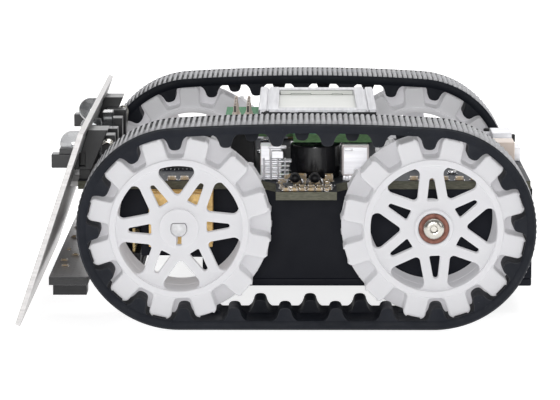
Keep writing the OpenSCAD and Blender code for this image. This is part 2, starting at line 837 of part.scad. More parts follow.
module header_pins() {
    foot_z = sensor_top + 2.5;
    color([0.8, 0.68, 0.35]) for (side = [-1, 1]) for (row = [-1, 1]) for (i = [-3 : 3])
        block([header_x + row * 1.27, side * header_y + i * 2.54, foot_z],
            [0.6, 0.6, board_z - socket_h - foot_z]);
}

// ----------------------------------------------------------------- blade

module blade() {
    back = blade_t * [cos(blade_lean), sin(blade_lean)];
    rise = blade_len * [-sin(blade_lean), cos(blade_lean)];
    color([0.75, 0.74, 0.73]) difference() {
        union() {
            side_plate(half_w, overall_w) polygon([blade_foot, blade_foot + rise,
                blade_foot + rise - back, blade_foot - back]);
            for (side = [-1, 1])
                block([fold_x - flap_l / 2, side * flap_y, flap_z], [flap_l, flap_w, blade_t]);
        }
        for (side = [-1, 1]) {
            translate([blade_x(lamp_z) - 5, side * lamp_y, lamp_z]) rotate([0, 90, 0])
                cylinder(r = lamp_r + 0.2, h = 10);
            block([blade_x(shroud_z), side * shroud_y, shroud_z - shroud_h / 2 - 0.2],
                [10, shroud_w + 0.4, shroud_h + step_h + 0.4]);
            translate([screw_x, side * flap_y, flap_z - 1]) cylinder(r = fix_r + fix_fit, h = blade_t + 2);
        }
        translate([blade_x(eye_z) - 5, 0, eye_z]) rotate([0, 90, 0]) cylinder(r = eye_r + 0.2, h = 10);
    }
}

module blade_screws() {
    color([0.75, 0.75, 0.76]) for (side = [-1, 1]) {
        translate([screw_x, side * flap_y, board_top]) cylinder(r = screw_head_r, h = screw_head_h);
        translate([screw_x, side * flap_y, shelf_z - 2.2]) cylinder(r = fix_r, h = board_top - shelf_z + 2.3);
    }
}

module blade_nuts() {
    color([0.7, 0.7, 0.7]) for (side = [-1, 1]) difference() {
        translate([screw_x, side * flap_y, shelf_z - 1.6]) cylinder(r = 2.3, h = 1.6, $fn = 6);
        translate([screw_x, side * flap_y, shelf_z - 2]) cylinder(r = fix_r + 0.02, h = 3);
    }
}

// --------------------------------------------------------- front sensing

module lamp_holders() {
    gap = 0.15;
    color([0.1, 0.1, 0.11]) both_sides() difference() {
        side_plate(lamp_y + holder_w / 2, holder_w) polygon([
            [blade_x(holder_z) - blade_t / cos(blade_lean) - gap, holder_z],
            [blade_x(holder_z + holder_h) - blade_t / cos(blade_lean) - gap, holder_z + holder_h],
            [blade_x(holder_z + holder_h) - holder_l - 0.6, holder_z + holder_h],
            [blade_x(holder_z) - holder_l, holder_z]
        ]);
        translate([blade_x(lamp_z) - 12, lamp_y, lamp_z]) rotate([0, 90, 0])
            cylinder(r = lamp_r + 0.05, h = 12);
        block([blade_x(shroud_z), shroud_y, shroud_z - shroud_h / 2 - 0.05],
            [5, shroud_w + 0.1, shroud_h + 0.1]);
    }
    color([0.1, 0.1, 0.11]) both_sides()
        block([blade_x(holder_z) - holder_l + 1.3, lamp_y, board_top], [2.2, 5, holder_z - board_top + cut]);
}

module front_lamps() {
    tip_x = blade_x(lamp_z) + 3.4;
    color([0.9, 0.93, 0.95]) both_sides() {
        translate([tip_x - lamp_r, lamp_y, lamp_z]) sphere(r = lamp_r, $fn = 32);
        translate([tip_x - 8, lamp_y, lamp_z]) rotate([0, 90, 0]) cylinder(r = lamp_r, h = 8 - lamp_r);
    }
}

module lamp_leads() {
    lead = 0.5;
    tail_x = blade_x(lamp_z) + 3.4 - 8;
    color([0.8, 0.78, 0.72]) both_sides() for (side = [-1, 1]) {
        y = lamp_y + side * 1.27;
        block([tail_x - 1, y, lamp_z - lead / 2], [2, lead, lead]);
        block([tail_x - 2, y, board_top], [lead, lead, lamp_z - board_top + lead / 2]);
    }
}

// Centre eye and its carrier
module front_eye() {
    tip_x = blade_x(eye_z) + 1.2;
    color([0.85, 0.88, 0.9]) union() {
        translate([tip_x - eye_r, 0, eye_z]) sphere(r = eye_r, $fn = 32);
        translate([tip_x - 4.5, 0, eye_z]) rotate([0, 90, 0]) cylinder(r = eye_r, h = 4.5 - eye_r);
        block([tip_x - 5.5, 0, board_top], [2.2, 5, eye_z + 3 - board_top]);
    }
}

module front_uprights() {
    color([0.09, 0.09, 0.1]) for (y = upright_ys) difference() {
        block([upright_x, y, board_top], [upright_l, upright_w, upright_h]);
        block([upright_x + upright_l / 2, y, board_top + 1.5], [1.6, upright_w - 1.2, upright_h - 3]);
    }
}

// Black housings that reach forward through the blade, each with a shorter step on top
module front_shrouds() {
    back_x = blade_x(shroud_z) - shroud_rear_gap;
    tube_l = shroud_front_x - back_x;
    color([0.09, 0.09, 0.1]) both_sides() difference() {
        union() {
            block([back_x + tube_l / 2, shroud_y, shroud_z - shroud_h / 2], [tube_l, shroud_w, shroud_h]);
            block([shroud_front_x - step_back - 1.4, shroud_y, shroud_z + shroud_h / 2 - cut],
                [2.8, step_w, step_h + cut]);
        }
        block([shroud_front_x, shroud_y, shroud_z - shroud_h / 2 + 0.6],
            [2.4, shroud_w - 1.2, shroud_h - 1.2]);
    }
}

chassis_body();
battery_cover();
battery_cells();
battery_contacts();
main_board();
board_chips();
board_parts();
side_emitters();
side_receivers();
buzzer();
usb_port();
board_plug();
power_switch_housing();
power_switch_slider();
button_housings();
button_cap(button_ys[0]);  // button_a
button_cap(button_ys[1]);  // button_b
button_cap(button_ys[2]);  // button_c
button_cap(reset_y);  // button_reset
display_header();
display_board();
display_frame();
display_glass();
front_sensor_board();
line_sensors();
header_strips();
header_pins();
blade();
blade_screws();
blade_nuts();
board_screws();
lamp_holders();
front_lamps();
lamp_leads();
front_eye();
front_shrouds();
front_uprights();
gearbox();  // gearbox_left
mirror([0, 1, 0]) gearbox();  // gearbox_right
motor_can();  // motor_left
mirror([0, 1, 0]) motor_can();  // motor_right
both_sides() motor_cap();  // motor_caps
output_gear();  // output_gear_left
mirror([0, 1, 0]) output_gear();  // output_gear_right
drive_shaft();  // drive_shaft_left
mirror([0, 1, 0]) drive_shaft();  // drive_shaft_right
drive_sprocket();  // drive_sprocket_left
mirror([0, 1, 0]) drive_sprocket();  // drive_sprocket_right
idler_sprocket();  // idler_sprocket_left
mirror([0, 1, 0]) idler_sprocket();  // idler_sprocket_right
both_sides() idler_bushing();  // idler_bushings
both_sides() idler_bolt();  // idler_bolts
both_sides() idler_nut();  // idler_nuts
track();  // track_left
mirror([0, 1, 0]) track();  // track_right
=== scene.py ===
"""Looks of a small tracked robot chassis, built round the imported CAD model.

Lengths in this file are millimetres, and each mesh is scaled to metres when it is made.
+X is forward towards the blade, +Y is left, +Z is up, and the floor is at zero.
"""
import json
import math
import random

import bmesh
import bpy
from mathutils import Matrix, Vector
from mathutils.geometry import tessellate_polygon


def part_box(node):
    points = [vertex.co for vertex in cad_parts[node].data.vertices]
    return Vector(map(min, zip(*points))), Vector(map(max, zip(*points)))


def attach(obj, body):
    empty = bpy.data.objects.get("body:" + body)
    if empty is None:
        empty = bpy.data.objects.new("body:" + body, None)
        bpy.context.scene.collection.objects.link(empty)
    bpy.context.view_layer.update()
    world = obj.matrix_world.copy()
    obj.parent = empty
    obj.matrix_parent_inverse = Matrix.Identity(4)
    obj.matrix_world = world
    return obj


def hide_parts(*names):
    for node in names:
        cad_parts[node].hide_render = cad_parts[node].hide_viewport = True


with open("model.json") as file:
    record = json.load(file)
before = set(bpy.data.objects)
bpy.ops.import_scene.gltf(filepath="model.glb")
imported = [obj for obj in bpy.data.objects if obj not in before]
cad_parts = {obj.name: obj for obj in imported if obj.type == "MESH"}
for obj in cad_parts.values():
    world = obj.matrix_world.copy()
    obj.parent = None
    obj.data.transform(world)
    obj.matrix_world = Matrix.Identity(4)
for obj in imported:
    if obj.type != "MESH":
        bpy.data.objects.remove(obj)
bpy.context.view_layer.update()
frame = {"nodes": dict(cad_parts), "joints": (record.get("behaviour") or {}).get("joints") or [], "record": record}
random.seed(7)

MM = 0.001
TAU = 2 * math.pi
SHARP_EDGE = math.radians(32)  # CAD edges that turn by more than this get a rounding


# ------------------------------------------------------------ sizes from the frame

def span(node):
    """Lowest and highest corner of a CAD node, in millimetres."""
    low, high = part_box(node)
    return low / MM, high / MM


def middle_of(node):
    """The middle of a CAD node's box, in millimetres."""
    low, high = span(node)
    return (low + high) / 2


def joint_place(name):
    """Where a joint's axis lies, in millimetres."""
    found = [j for j in frame["joints"] if j["name"] == name]
    return Vector(found[0]["pos_m"]) / MM


drive_axle = joint_place("left_drive_spin")
idler_axle = joint_place("left_idler_spin")
track_low, track_high = span("track_left")
wheelbase = drive_axle.x - idler_axle.x
track_r = (track_high.x - track_low.x - wheelbase) / 2
track_w = track_high.y - track_low.y
outer_y = track_high.y
axle_z = drive_axle.z
mid_x = (drive_axle.x + idler_axle.x) / 2
bow = track_high.z - 2 * track_r
board_low, board_high = span("main_board")
board_top = board_high.z


# ------------------------------------------------------------------- mesh helpers

def add_piece(name, bm, body, materials, replaces=(), smooth=30):
    """Makes one object of a bmesh drawn in millimetres and hangs it on a CAD body."""
    bmesh.ops.recalc_face_normals(bm, faces=bm.faces)
    bmesh.ops.scale(bm, vec=(MM, MM, MM), verts=bm.verts)
    mesh = bpy.data.meshes.new(name)
    bm.to_mesh(mesh)
    bm.free()
    for m in materials if isinstance(materials, (list, tuple)) else [materials]:
        mesh.materials.append(m)
    mesh.shade_smooth()
    mesh.set_sharp_from_angle(angle=math.radians(smooth))
    piece = bpy.data.objects.new(name, mesh)
    bpy.context.scene.collection.objects.link(piece)
    weigh = piece.modifiers.new("weighted normals", "WEIGHTED_NORMAL")
    weigh.keep_sharp = True
    bpy.context.view_layer.update()
    graph = bpy.context.evaluated_depsgraph_get()
    piece.data = bpy.data.meshes.new_from_object(piece.evaluated_get(graph), depsgraph=graph)
    piece.modifiers.clear()
    bpy.data.meshes.remove(mesh)
    piece.data.name = name
    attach(piece, body)
    if replaces:
        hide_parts(*replaces)


def add_box(bm, centre, size, bevel=0.08, steps=2, material=0, turn=None):
    """A block with rounded edges, placed by its centre."""
    made = bmesh.ops.create_cube(bm, size=1)
    verts = made["verts"]
    bmesh.ops.scale(bm, vec=size, verts=verts)
    faces = {f for v in verts for f in v.link_faces}
    if bevel:
        edges = list({e for v in verts for e in v.link_edges})
        width = min(bevel, 0.45 * min(size))
        done = bmesh.ops.bevel(bm, geom=edges, offset=width, segments=steps, profile=0.5, affect="EDGES")
        faces = set(done["faces"]) | {f for f in faces if f.is_valid}
        verts = list({v for f in faces for v in f.verts})
    if turn is not None:
        bmesh.ops.rotate(bm, verts=verts, cent=(0, 0, 0), matrix=turn)
    bmesh.ops.translate(bm, verts=verts, vec=centre)
    for f in faces:
        f.material_index = material
    return verts


def add_ring_walls(bm, pairs, steps, material=0):
    """Faces between pairs of rings of points. A ring may be a single point."""
    for a, b in pairs:
        for i in range(steps):
            j = (i + 1) % steps
            corners = [a[i % len(a)], a[j % len(a)], b[j % len(b)], b[i % len(b)]]
            unique = list(dict.fromkeys(corners))
            if len(unique) > 2:
                bm.faces.new(unique).material_index = material


def add_lathe(bm, profile, place, axis="Z", steps=48, material=0):
    """Revolves a (radius, height) outline about an axis.
    The outline runs from the axis to the axis or closes on itself."""
    turn = {"Z": Matrix.Identity(3), "Y": Matrix.Rotation(math.radians(-90), 3, "X"),
            "X": Matrix.Rotation(math.radians(90), 3, "Y")}[axis]
    rings = []
    for r, h in profile:
        if r < 1e-6:
            rings.append([bm.verts.new(turn @ Vector((0, 0, h)) + Vector(place))])
            continue
        around = [(r * math.cos(TAU * i / steps), r * math.sin(TAU * i / steps), h) for i in range(steps)]
        rings.append([bm.verts.new(turn @ Vector(point) + Vector(place)) for point in around])
    pairs = list(zip(rings, rings[1:]))
    if len(rings[0]) > 1 and len(rings[-1]) > 1:
        pairs.append((rings[-1], rings[0]))
    add_ring_walls(bm, pairs, steps, material)


def add_tube(bm, points, radius, sides=10, material=0):
    """A round wire along points, with flat ends."""
    points = [Vector(p) for p in points]
    rings = []
    for i, p in enumerate(points):
        ahead = (points[min(i + 1, len(points) - 1)] - points[max(i - 1, 0)]).normalized()
        side = ahead.cross(Vector((0.13, 0.97, 0.2))).normalized()
        up = ahead.cross(side)
        rings.append([bm.verts.new(p + radius * (side * math.cos(TAU * k / sides) + up * math.sin(TAU * k / sides)))
                      for k in range(sides)])
    add_ring_walls(bm, zip(rings, rings[1:]), sides, material)
    bm.faces.new(rings[0]).material_index = material
    bm.faces.new(rings[-1]).material_index = material


def smooth_path(points, steps=6):
    """Points along a rounded line through the given ones."""
    points = [Vector(p) for p in points]
    full = [2 * points[0] - points[1]] + points + [2 * points[-1] - points[-2]]
    out = []
    for a, b, c, d in zip(full, full[1:], full[2:], full[3:]):
        for k in range(steps):
            t = k / steps
            out.append(0.5 * (2 * b + (c - a) * t + (2 * a - 5 * b + 4 * c - d) * t * t
                              + (3 * b - a - 3 * c + d) * t ** 3))
    return out + [points[-1]]


def add_plate(bm, outlines, thickness, bevel, place, steps=4):
    """A flat plate with holes and rounded edges, centred on z = 0 before place, a 4 x 4 matrix, moves it.
    The first outline, a closed list of (x, y), is the outside and the others are holes."""
    loops = []
    for n, outline in enumerate(outlines):
        area = sum(x0 * y1 - x1 * y0 for (x0, y0), (x1, y1) in zip(outline, outline[1:] + outline[:1]))
        loops.append(list(outline) if (area > 0) == (n == 0) else list(reversed(outline)))

    def inset(points, depth):
        out = []
        for i, (x, y) in enumerate(points):
            ax, ay = points[i - 1]
            bx, by = points[(i + 1) % len(points)]
            before = Vector((ay - y, x - ax)).normalized()
            after = Vector((y - by, bx - x)).normalized()
            middle = (before + after).normalized()
            reach = depth / max(middle.dot(before), 0.4)
            out.append((x + middle.x * reach, y + middle.y * reach))
        return out

    half = thickness / 2
    angles = [math.pi / 2 * k / steps for k in range(steps + 1)]
    levels = [(bevel * (1 - math.sin(a)), half - bevel * (1 - math.cos(a))) for a in angles]
    levels += [(depth, -z) for depth, z in reversed(levels)]
    caps = ([], [])
    for points in loops:
        rings = [[bm.verts.new(place @ Vector((x, y, z))) for x, y in inset(points, depth)] for depth, z in levels]
        caps[0].extend(rings[0])
        caps[1].extend(rings[-1])
        add_ring_walls(bm, zip(rings, rings[1:]), len(points))
    flat = [[Vector((x, y, 0)) for x, y in inset(points, bevel)] for points in loops]
    for triangle in tessellate_polygon(flat):
        for cap in caps:
            bm.faces.new([cap[k] for k in triangle])


def mirrored(bm):
    """The same mesh on the robot's other side."""
    other = bm.copy()
    bmesh.ops.scale(other, vec=(1, -1, 1), verts=other.verts)
    bmesh.ops.reverse_faces(other, faces=other.faces)
    return other


def add_both_sides(bm):
    """Adds the mirror image of a mesh to it."""
    other = mirrored(bm)
    mesh = bpy.data.meshes.new("part")
    other.to_mesh(mesh)
    other.free()
    bm.from_mesh(mesh)
    bpy.data.meshes.remove(mesh)


def add_pair(name, bm, body, materials, node, smooth=30):
    """A piece on the left and its mirror image on the right, each for the CAD node of its side.
    The body is the chassis or the end of a name that starts with the side."""
    other = mirrored(bm)
    for side, mesh in (("left", bm), ("right", other)):
        on = body if body == "chassis" else side + "_" + body
        add_piece(name + "_" + side, mesh, on, materials, [node + "_" + side], smooth)


def refine(node, material, bevel=0.2, steps=2):
    """A copy of a CAD node with rounded edges, which stands for it."""
    bm = bmesh.new()
    bm.from_mesh(frame["nodes"][node].data)
    bmesh.ops.scale(bm, vec=(1 / MM, 1 / MM, 1 / MM), verts=bm.verts)
    bmesh.ops.remove_doubles(bm, verts=bm.verts, dist=1e-4)
    bmesh.ops.dissolve_limit(bm, angle_limit=math.radians(1), verts=bm.verts, edges=bm.edges)
    sharp = [e for e in bm.edges if len(e.link_faces) == 2 and e.calc_face_angle(0) > SHARP_EDGE]
    bmesh.ops.bevel(bm, geom=sharp, offset=bevel, segments=steps, profile=0.5, affect="EDGES",
                    clamp_overlap=True)
    body = next(b for b, nodes in frame["record"]["behaviour"]["bodies"].items() if node in nodes)
    add_piece("fine_" + node, bm, body, material, [node])


def arc(cx, cy, r, start, end, steps):
    """Points on an arc, in degrees, both ends included."""
    return [(cx + r * math.cos(math.radians(start + (end - start) * i / steps)),
             cy + r * math.sin(math.radians(start + (end - start) * i / steps))) for i in range(steps + 1)]


def circle(cx, cy, r, steps=32):
    return arc(cx, cy, r, 0, 360 * (steps - 1) / steps, steps - 1)


def turned(points, degrees):
    c, s = math.cos(math.radians(degrees)), math.sin(math.radians(degrees))
    return [(x * c - y * s, x * s + y * c) for x, y in points]


# ---------------------------------------------------------------------- materials

GRAIN_DEPTH = 0.00002          # of the bumps in the surfaces, in metres


class Nodes:
    """A node tree under construction, with short calls for the nodes used here."""

    def __init__(self, name):
        self.material = bpy.data.materials.new(name)
        self.material.use_nodes = True
        self.tree = self.material.node_tree
        self.shader = self.tree.nodes["Principled BSDF"]
        self.coords = self.tree.nodes.new("ShaderNodeTexCoord").outputs["Object"]

    def link(self, source, target):
        self.tree.links.new(source, target)

    def stretched(self, scale):
        node = self.tree.nodes.new("ShaderNodeMapping")
        node.inputs["Scale"].default_value = scale
        self.link(self.coords, node.inputs["Vector"])
        return node.outputs["Vector"]

    def noise(self, scale, detail=3, rough=0.6, vector=None):
        node = self.tree.nodes.new("ShaderNodeTexNoise")
        node.inputs["Scale"].default_value = scale
        node.inputs["Detail"].default_value = detail
        node.inputs["Roughness"].default_value = rough
        self.link(vector or self.coords, node.inputs["Vector"])
        return node.outputs["Fac"]

    def cells(self, scale):
        node = self.tree.nodes.new("ShaderNodeTexVoronoi")
        node.inputs["Scale"].default_value = scale
        self.link(self.coords, node.inputs["Vector"])
        return node.outputs["Distance"]

    def remap(self, source, low, high, out_low, out_high):
        node = self.tree.nodes.new("ShaderNodeMapRange")
        for key, value in zip(("From Min", "From Max", "To Min", "To Max"), (low, high, out_low, out_high)):
            node.inputs[key].default_value = value
        self.link(source, node.inputs["Value"])
        return node.outputs["Result"]

    def mix(self, factor, a, b):
        """Mixes two colours or two colour sockets."""
        node = self.tree.nodes.new("ShaderNodeMix")
        node.data_type = "RGBA"
        self.link(factor, node.inputs["Factor"])
        for value, key in ((a, 6), (b, 7)):
            if isinstance(value, tuple):
                node.inputs[key].default_value = (*value, 1)
            else:
                self.link(value, node.inputs[key])
        return node.outputs[2]

    def math(self, kind, a, b=None):
        node = self.tree.nodes.new("ShaderNodeMath")
        node.operation = kind
        for i, value in enumerate((a, b)):
            if value is None:
                continue
            if isinstance(value, (int, float)):
                node.inputs[i].default_value = value
            else:
                self.link(value, node.inputs[i])
        return node.outputs[0]

    def bump(self, height, strength, distance):
        node = self.tree.nodes.new("ShaderNodeBump")
        node.inputs["Strength"].default_value = strength
        node.inputs["Distance"].default_value = distance
        self.link(height, node.inputs["Height"])
        self.link(node.outputs["Normal"], self.shader.inputs["Normal"])

    def set(self, **values):
        for key, value in values.items():
            self.shader.inputs[key.replace("_", " ")].default_value = value


def moulded(name, colour, rough, grain=900, variation=0.12, blotch=60, **sockets):
    """Moulded or painted surface: slow colour drift, fine grain and uneven gloss."""
    n = Nodes(name)
    drift = n.remap(n.noise(blotch, 4), 0.3, 0.7, 0, 1)
    darker = tuple(c * (1 - variation) for c in colour)
    n.link(n.mix(drift, colour, darker), n.shader.inputs["Base Color"])
    fine = n.noise(grain * 4, 3)
    n.link(n.remap(n.noise(blotch * 6, 3), 0.3, 0.7, rough * 0.88, rough * 1.14), n.shader.inputs["Roughness"])
    n.bump(fine, 0.25, GRAIN_DEPTH)
    n.set(**sockets)
    return n.material


def brushed(name, colour, rough, along=(40, 2500, 2500), variation=0.1, metal=1.0):
    """Metal with a fine straight grain."""
    n = Nodes(name)
    grain = n.noise(1, 4, 0.65, n.stretched(along))
    darker = tuple(c * (1 - variation) for c in colour)
    n.link(n.mix(n.remap(grain, 0.35, 0.65, 0, 1), colour, darker), n.shader.inputs["Base Color"])
    n.link(n.remap(grain, 0.3, 0.7, rough * 0.8, rough * 1.25), n.shader.inputs["Roughness"])
    n.bump(grain, 0.2, GRAIN_DEPTH / 2)
    n.set(Metallic=metal)
    return n.material


def rubber_material():
    """Dark track rubber with mould grain and a little pale dust."""
    n = Nodes("track_rubber")
    base = n.mix(n.remap(n.noise(90, 5), 0.35, 0.65, 0, 1), (0.0042, 0.0058, 0.0105), (0.0075, 0.0095, 0.016))
    specks = n.remap(n.cells(1500), 0.03, 0.075, 1, 0)
    patches = n.remap(n.noise(120, 3), 0.48, 0.66, 0, 0.7)
    dusty = n.math("MULTIPLY", specks, patches)
    n.link(n.mix(dusty, base, (0.32, 0.33, 0.36)), n.shader.inputs["Base Color"])
    n.link(n.remap(n.noise(400, 3), 0.3, 0.7, 0.5, 0.66), n.shader.inputs["Roughness"])
    n.bump(n.noise(5200, 2), 0.3, GRAIN_DEPTH)
    n.set(Specular_IOR_Level=0.22)
    return n.material


def tread_material():
    """The ribbed outside of the track, in pale greys that paint the sheen of the light on the rib tops, paler in
    random patches.
    """
    n = Nodes("tread_rubber")
    # painted sheen: the rib tops are the sides' dark rubber painted pale grey for the light falling on them, and noise
    # mixes two such greys
    painted_sheen = n.remap(n.noise(500, 4), 0.3, 0.7, 0.0, 1)
    n.link(n.mix(painted_sheen, (0.36, 0.36, 0.375), (0.52, 0.52, 0.54)), n.shader.inputs["Base Color"])
    n.link(n.remap(n.noise(900, 3), 0.3, 0.7, 0.5, 0.75), n.shader.inputs["Roughness"])
    n.bump(n.noise(5200, 2), 0.3, GRAIN_DEPTH)
    n.set(Specular_IOR_Level=0.4)
    return n.material


def gap_material():
    """The grooves between the ribs, with painted light pale towards the outer edge of the track and painted shade dark
    further in.
    """
    n = Nodes("tread_gap")
    split = n.tree.nodes.new("ShaderNodeSeparateXYZ")
    n.link(n.coords, split.inputs[0])
    # painted light and shade: the groove colour runs from painted shade deep inside the track to a paler painted light
    # near its outer edge
    painted_light_mask = n.remap(n.math("ABSOLUTE", split.outputs["Y"]), (outer_y - 8.5) * MM, (outer_y - 5.5) * MM, 0, 1)
    drift = n.remap(n.noise(400, 3), 0.3, 0.7, 0, 1)
    pale = n.mix(drift, (0.26, 0.26, 0.27), (0.2, 0.2, 0.21))
    n.link(n.mix(painted_light_mask, (0.012, 0.013, 0.015), pale), n.shader.inputs["Base Color"])
    n.link(n.remap(drift, 0, 1, 0.55, 0.75), n.shader.inputs["Roughness"])
    n.bump(n.noise(5200, 2), 0.3, GRAIN_DEPTH)
    n.set(Specular_IOR_Level=0.2)
    return n.material


def board_material(name, mask, copper, edge, rough=0.55, shine=0.25):
    """Circuit board: solder mask over faint traces, tinned vias, and bare glass fibre on the cut edges."""
    n = Nodes(name)
    blocks = n.tree.nodes.new("ShaderNodeTexBrick")
    blocks.inputs["Scale"].default_value = 160
    blocks.inputs["Mortar Size"].default_value = 0.035
    blocks.inputs["Row Height"].default_value = 0.16
    blocks.inputs["Color1"].default_value = (0, 0, 0, 1)
    blocks.inputs["Color2"].default_value = (0.4, 0.4, 0.4, 1)
    blocks.inputs["Mortar"].default_value = (1, 1, 1, 1)
    n.link(n.coords, blocks.inputs["Vector"])
    trace = n.remap(blocks.outputs["Color"], 0.3, 1, 0, 1)
    top = n.mix(trace, mask, copper)
    vias = n.remap(n.cells(420), 0.1, 0.13, 1, 0)
    wanted = n.remap(n.noise(150, 2), 0.5, 0.52, 0, 1)
    top = n.mix(n.math("MULTIPLY", vias, wanted), top, (0.5, 0.48, 0.42))
    geometry = n.tree.nodes.new("ShaderNodeNewGeometry")
    split = n.tree.nodes.new("ShaderNodeSeparateXYZ")
    n.link(geometry.outputs["True Normal"], split.inputs[0])
    upright = n.remap(n.math("ABSOLUTE", split.outputs["Z"]), 0.5, 0.6, 1, 0)
    fibre = n.mix(n.remap(n.noise(1, 3, 0.6, n.stretched((900, 900, 5000))), 0.35, 0.65, 0, 1),
                  edge, tuple(c * 0.62 for c in edge))
    n.link(n.mix(upright, top, fibre), n.shader.inputs["Base Color"])
    n.link(n.remap(upright, 0, 1, rough, 0.85), n.shader.inputs["Roughness"])
    n.set(Specular_IOR_Level=shine)
    n.bump(blocks.outputs["Color"], 0.15, GRAIN_DEPTH)
    return n.material


def clear_material(name, tint, rough=0.03):
    """Clear cast resin with faint flow marks."""
    n = Nodes(name)
    n.link(n.mix(n.remap(n.noise(300, 2), 0.4, 0.6, 0, 1), tint, tuple(c * 0.97 for c in tint)),
           n.shader.inputs["Base Color"])
    n.link(n.remap(n.noise(600, 2), 0.3, 0.7, rough, rough * 2), n.shader.inputs["Roughness"])
    n.set(Transmission_Weight=0.92, IOR=1.5)
    return n.material


tread_gap = gap_material()
# painted shade: a darker, almost unreflecting copy of the track rubber, for the groove beside each edge bead
groove_painted_shade = moulded("groove_painted_shade", (0.005, 0.005, 0.007), 0.8, variation=0.3, blotch=300,
                        Specular_IOR_Level=0.02)
# painted highlight: a paler, glossier copy of the track rubber for the lugs' end bevels and the band's edge bead
painted_sheen_edge = moulded("painted_sheen_edge", (0.018, 0.021, 0.028), 0.42, variation=0.6, blotch=700, Specular_IOR_Level=0.3)
# painted light: the white plastic glows a little, a painted fill light that brightens its pockets and shaded sides
white_abs = moulded("white_abs", (0.48, 0.48, 0.495), 0.42, grain=1200, variation=0.035, blotch=40,
                    Subsurface_Weight=0.3, Subsurface_Scale=0.002, Specular_IOR_Level=0.42,
                    Emission_Color=(0.98, 0.97, 1, 1), Emission_Strength=0.22)
white_abs.node_tree.nodes["Principled BSDF"].inputs["Subsurface Radius"].default_value = (1.0, 0.9, 0.95)
black_abs = moulded("black_abs", (0.009, 0.0105, 0.017), 0.45, grain=1400, variation=0.2, blotch=50,
                    Specular_IOR_Level=0.12)
rubber = rubber_material()
tread = tread_material()
control_mask = board_material("control_mask", (0.012, 0.014, 0.02), (0.03, 0.034, 0.045), (0.15, 0.148, 0.112))
green_mask = board_material("green_mask", (0.02, 0.16, 0.06), (0.05, 0.26, 0.11), (0.16, 0.3, 0.14))
grey_mask = board_material("grey_mask", (0.66, 0.65, 0.66), (0.56, 0.55, 0.56), (0.05, 0.05, 0.052), 0.2, 0.9)
black_nylon = moulded("black_nylon", (0.01, 0.01, 0.012), 0.45, grain=2000, variation=0.3, blotch=200,
                      Specular_IOR_Level=0.35)
dark_epoxy = moulded("dark_epoxy", (0.018, 0.018, 0.021), 0.35, grain=3000, variation=0.25, blotch=300)
ceramic = moulded("ceramic", (0.56, 0.42, 0.25), 0.4, grain=3000, variation=0.3, blotch=500)
amber = moulded("amber", (0.75, 0.42, 0.04), 0.35, grain=3000, variation=0.25, blotch=400)
solder = brushed("solder", (0.8, 0.8, 0.82), 0.22, along=(900, 900, 900), variation=0.25)
gold = brushed("gold_plate", (0.86, 0.66, 0.32), 0.28, along=(800, 800, 1500), variation=0.25)
brass = brushed("gear_brass", (0.84, 0.58, 0.24), 0.5, along=(1500, 300, 1500), variation=0.18, metal=0.75)
tinned = brushed("tinned_sheet", (0.82, 0.82, 0.85), 0.42, along=(60, 1600, 1600), variation=0.12, metal=0.7)
display_metal = brushed("display_metal", (0.62, 0.62, 0.645), 0.5, along=(1800, 40, 1800), variation=0.1)
blade_steel = brushed("blade_steel", (0.66, 0.645, 0.64), 0.45, along=(30, 2200, 2200), variation=0.16, metal=0.45)
bright_steel = brushed("bright_steel", (0.62, 0.6, 0.55), 0.22, along=(500, 500, 500), variation=0.15)
shaft_steel = brushed("shaft_steel", (0.5, 0.5, 0.51), 0.45, along=(900, 900, 900), variation=0.14)
can_steel = brushed("can_steel", (0.66, 0.66, 0.69), 0.3, along=(1200, 60, 1200), variation=0.15)
bronze = brushed("bush_bronze", (0.2, 0.095, 0.075), 0.45, along=(1200, 400, 1200), variation=0.3)
cell_wrap = moulded("cell_wrap", (0.05, 0.2, 0.09), 0.3, variation=0.15)
pale_plastic = moulded("pale_plastic", (0.72, 0.72, 0.7), 0.3, grain=2500, variation=0.08, blotch=200,
                       Subsurface_Weight=0.2, Subsurface_Scale=0.001)
cream = moulded("cream_plastic", (0.78, 0.66, 0.58), 0.4, grain=2500, variation=0.1, blotch=200)
display_pale = moulded("display_pale", (0.8, 0.81, 0.78), 0.5, grain=2000, variation=0.05, blotch=80,
                       Specular_IOR_Level=0.2)
pearl = moulded("pearl_plastic", (0.74, 0.68, 0.67), 0.5, grain=2500, variation=0.12, blotch=260)
gloss_black = moulded("gloss_black", (0.008, 0.008, 0.01), 0.2, grain=1500, variation=0.3, blotch=100)
grey_black = moulded("grey_black", (0.012, 0.012, 0.014), 0.32, grain=2000, variation=0.3, blotch=200,
                     Specular_IOR_Level=0.5)
dull_green = moulded("dull_green", (0.03, 0.07, 0.04), 0.4, grain=2000, variation=0.4, blotch=900)
clear_resin = clear_material("clear_resin", (0.82, 0.84, 0.86))
floor_paper = moulded("floor_paper", (0.6, 0.6, 0.6), 0.9, grain=100, variation=0.01, blotch=2,
                      Emission_Color=(1, 1, 1, 1), Emission_Strength=0.8, Specular_IOR_Level=0.1)


# ------------------------------------------------------------------------- tracks

PITCH_INSET = 1.1              # depth of the band's neutral line below its outside
pitch_r = track_r - PITCH_INSET
bow_drop = (wheelbase ** 2 / 4 - bow ** 2) / (2 * bow)
bow_angle = math.atan(wheelbase / 2 / bow_drop)
wrap_len = pitch_r * (math.pi - bow_angle)
top_len = (bow + bow_drop + pitch_r) * 2 * bow_angle
path_len = wheelbase + 2 * wrap_len + top_len
LUGS = 22
RIBS_PER_LUG = 9
BAND_T = 2.0
POCKET_PHASE = math.radians(-2.5)
lug_pitch = path_len / LUGS
lug_start = wheelbase + pitch_r * (math.pi / 2 + POCKET_PHASE)


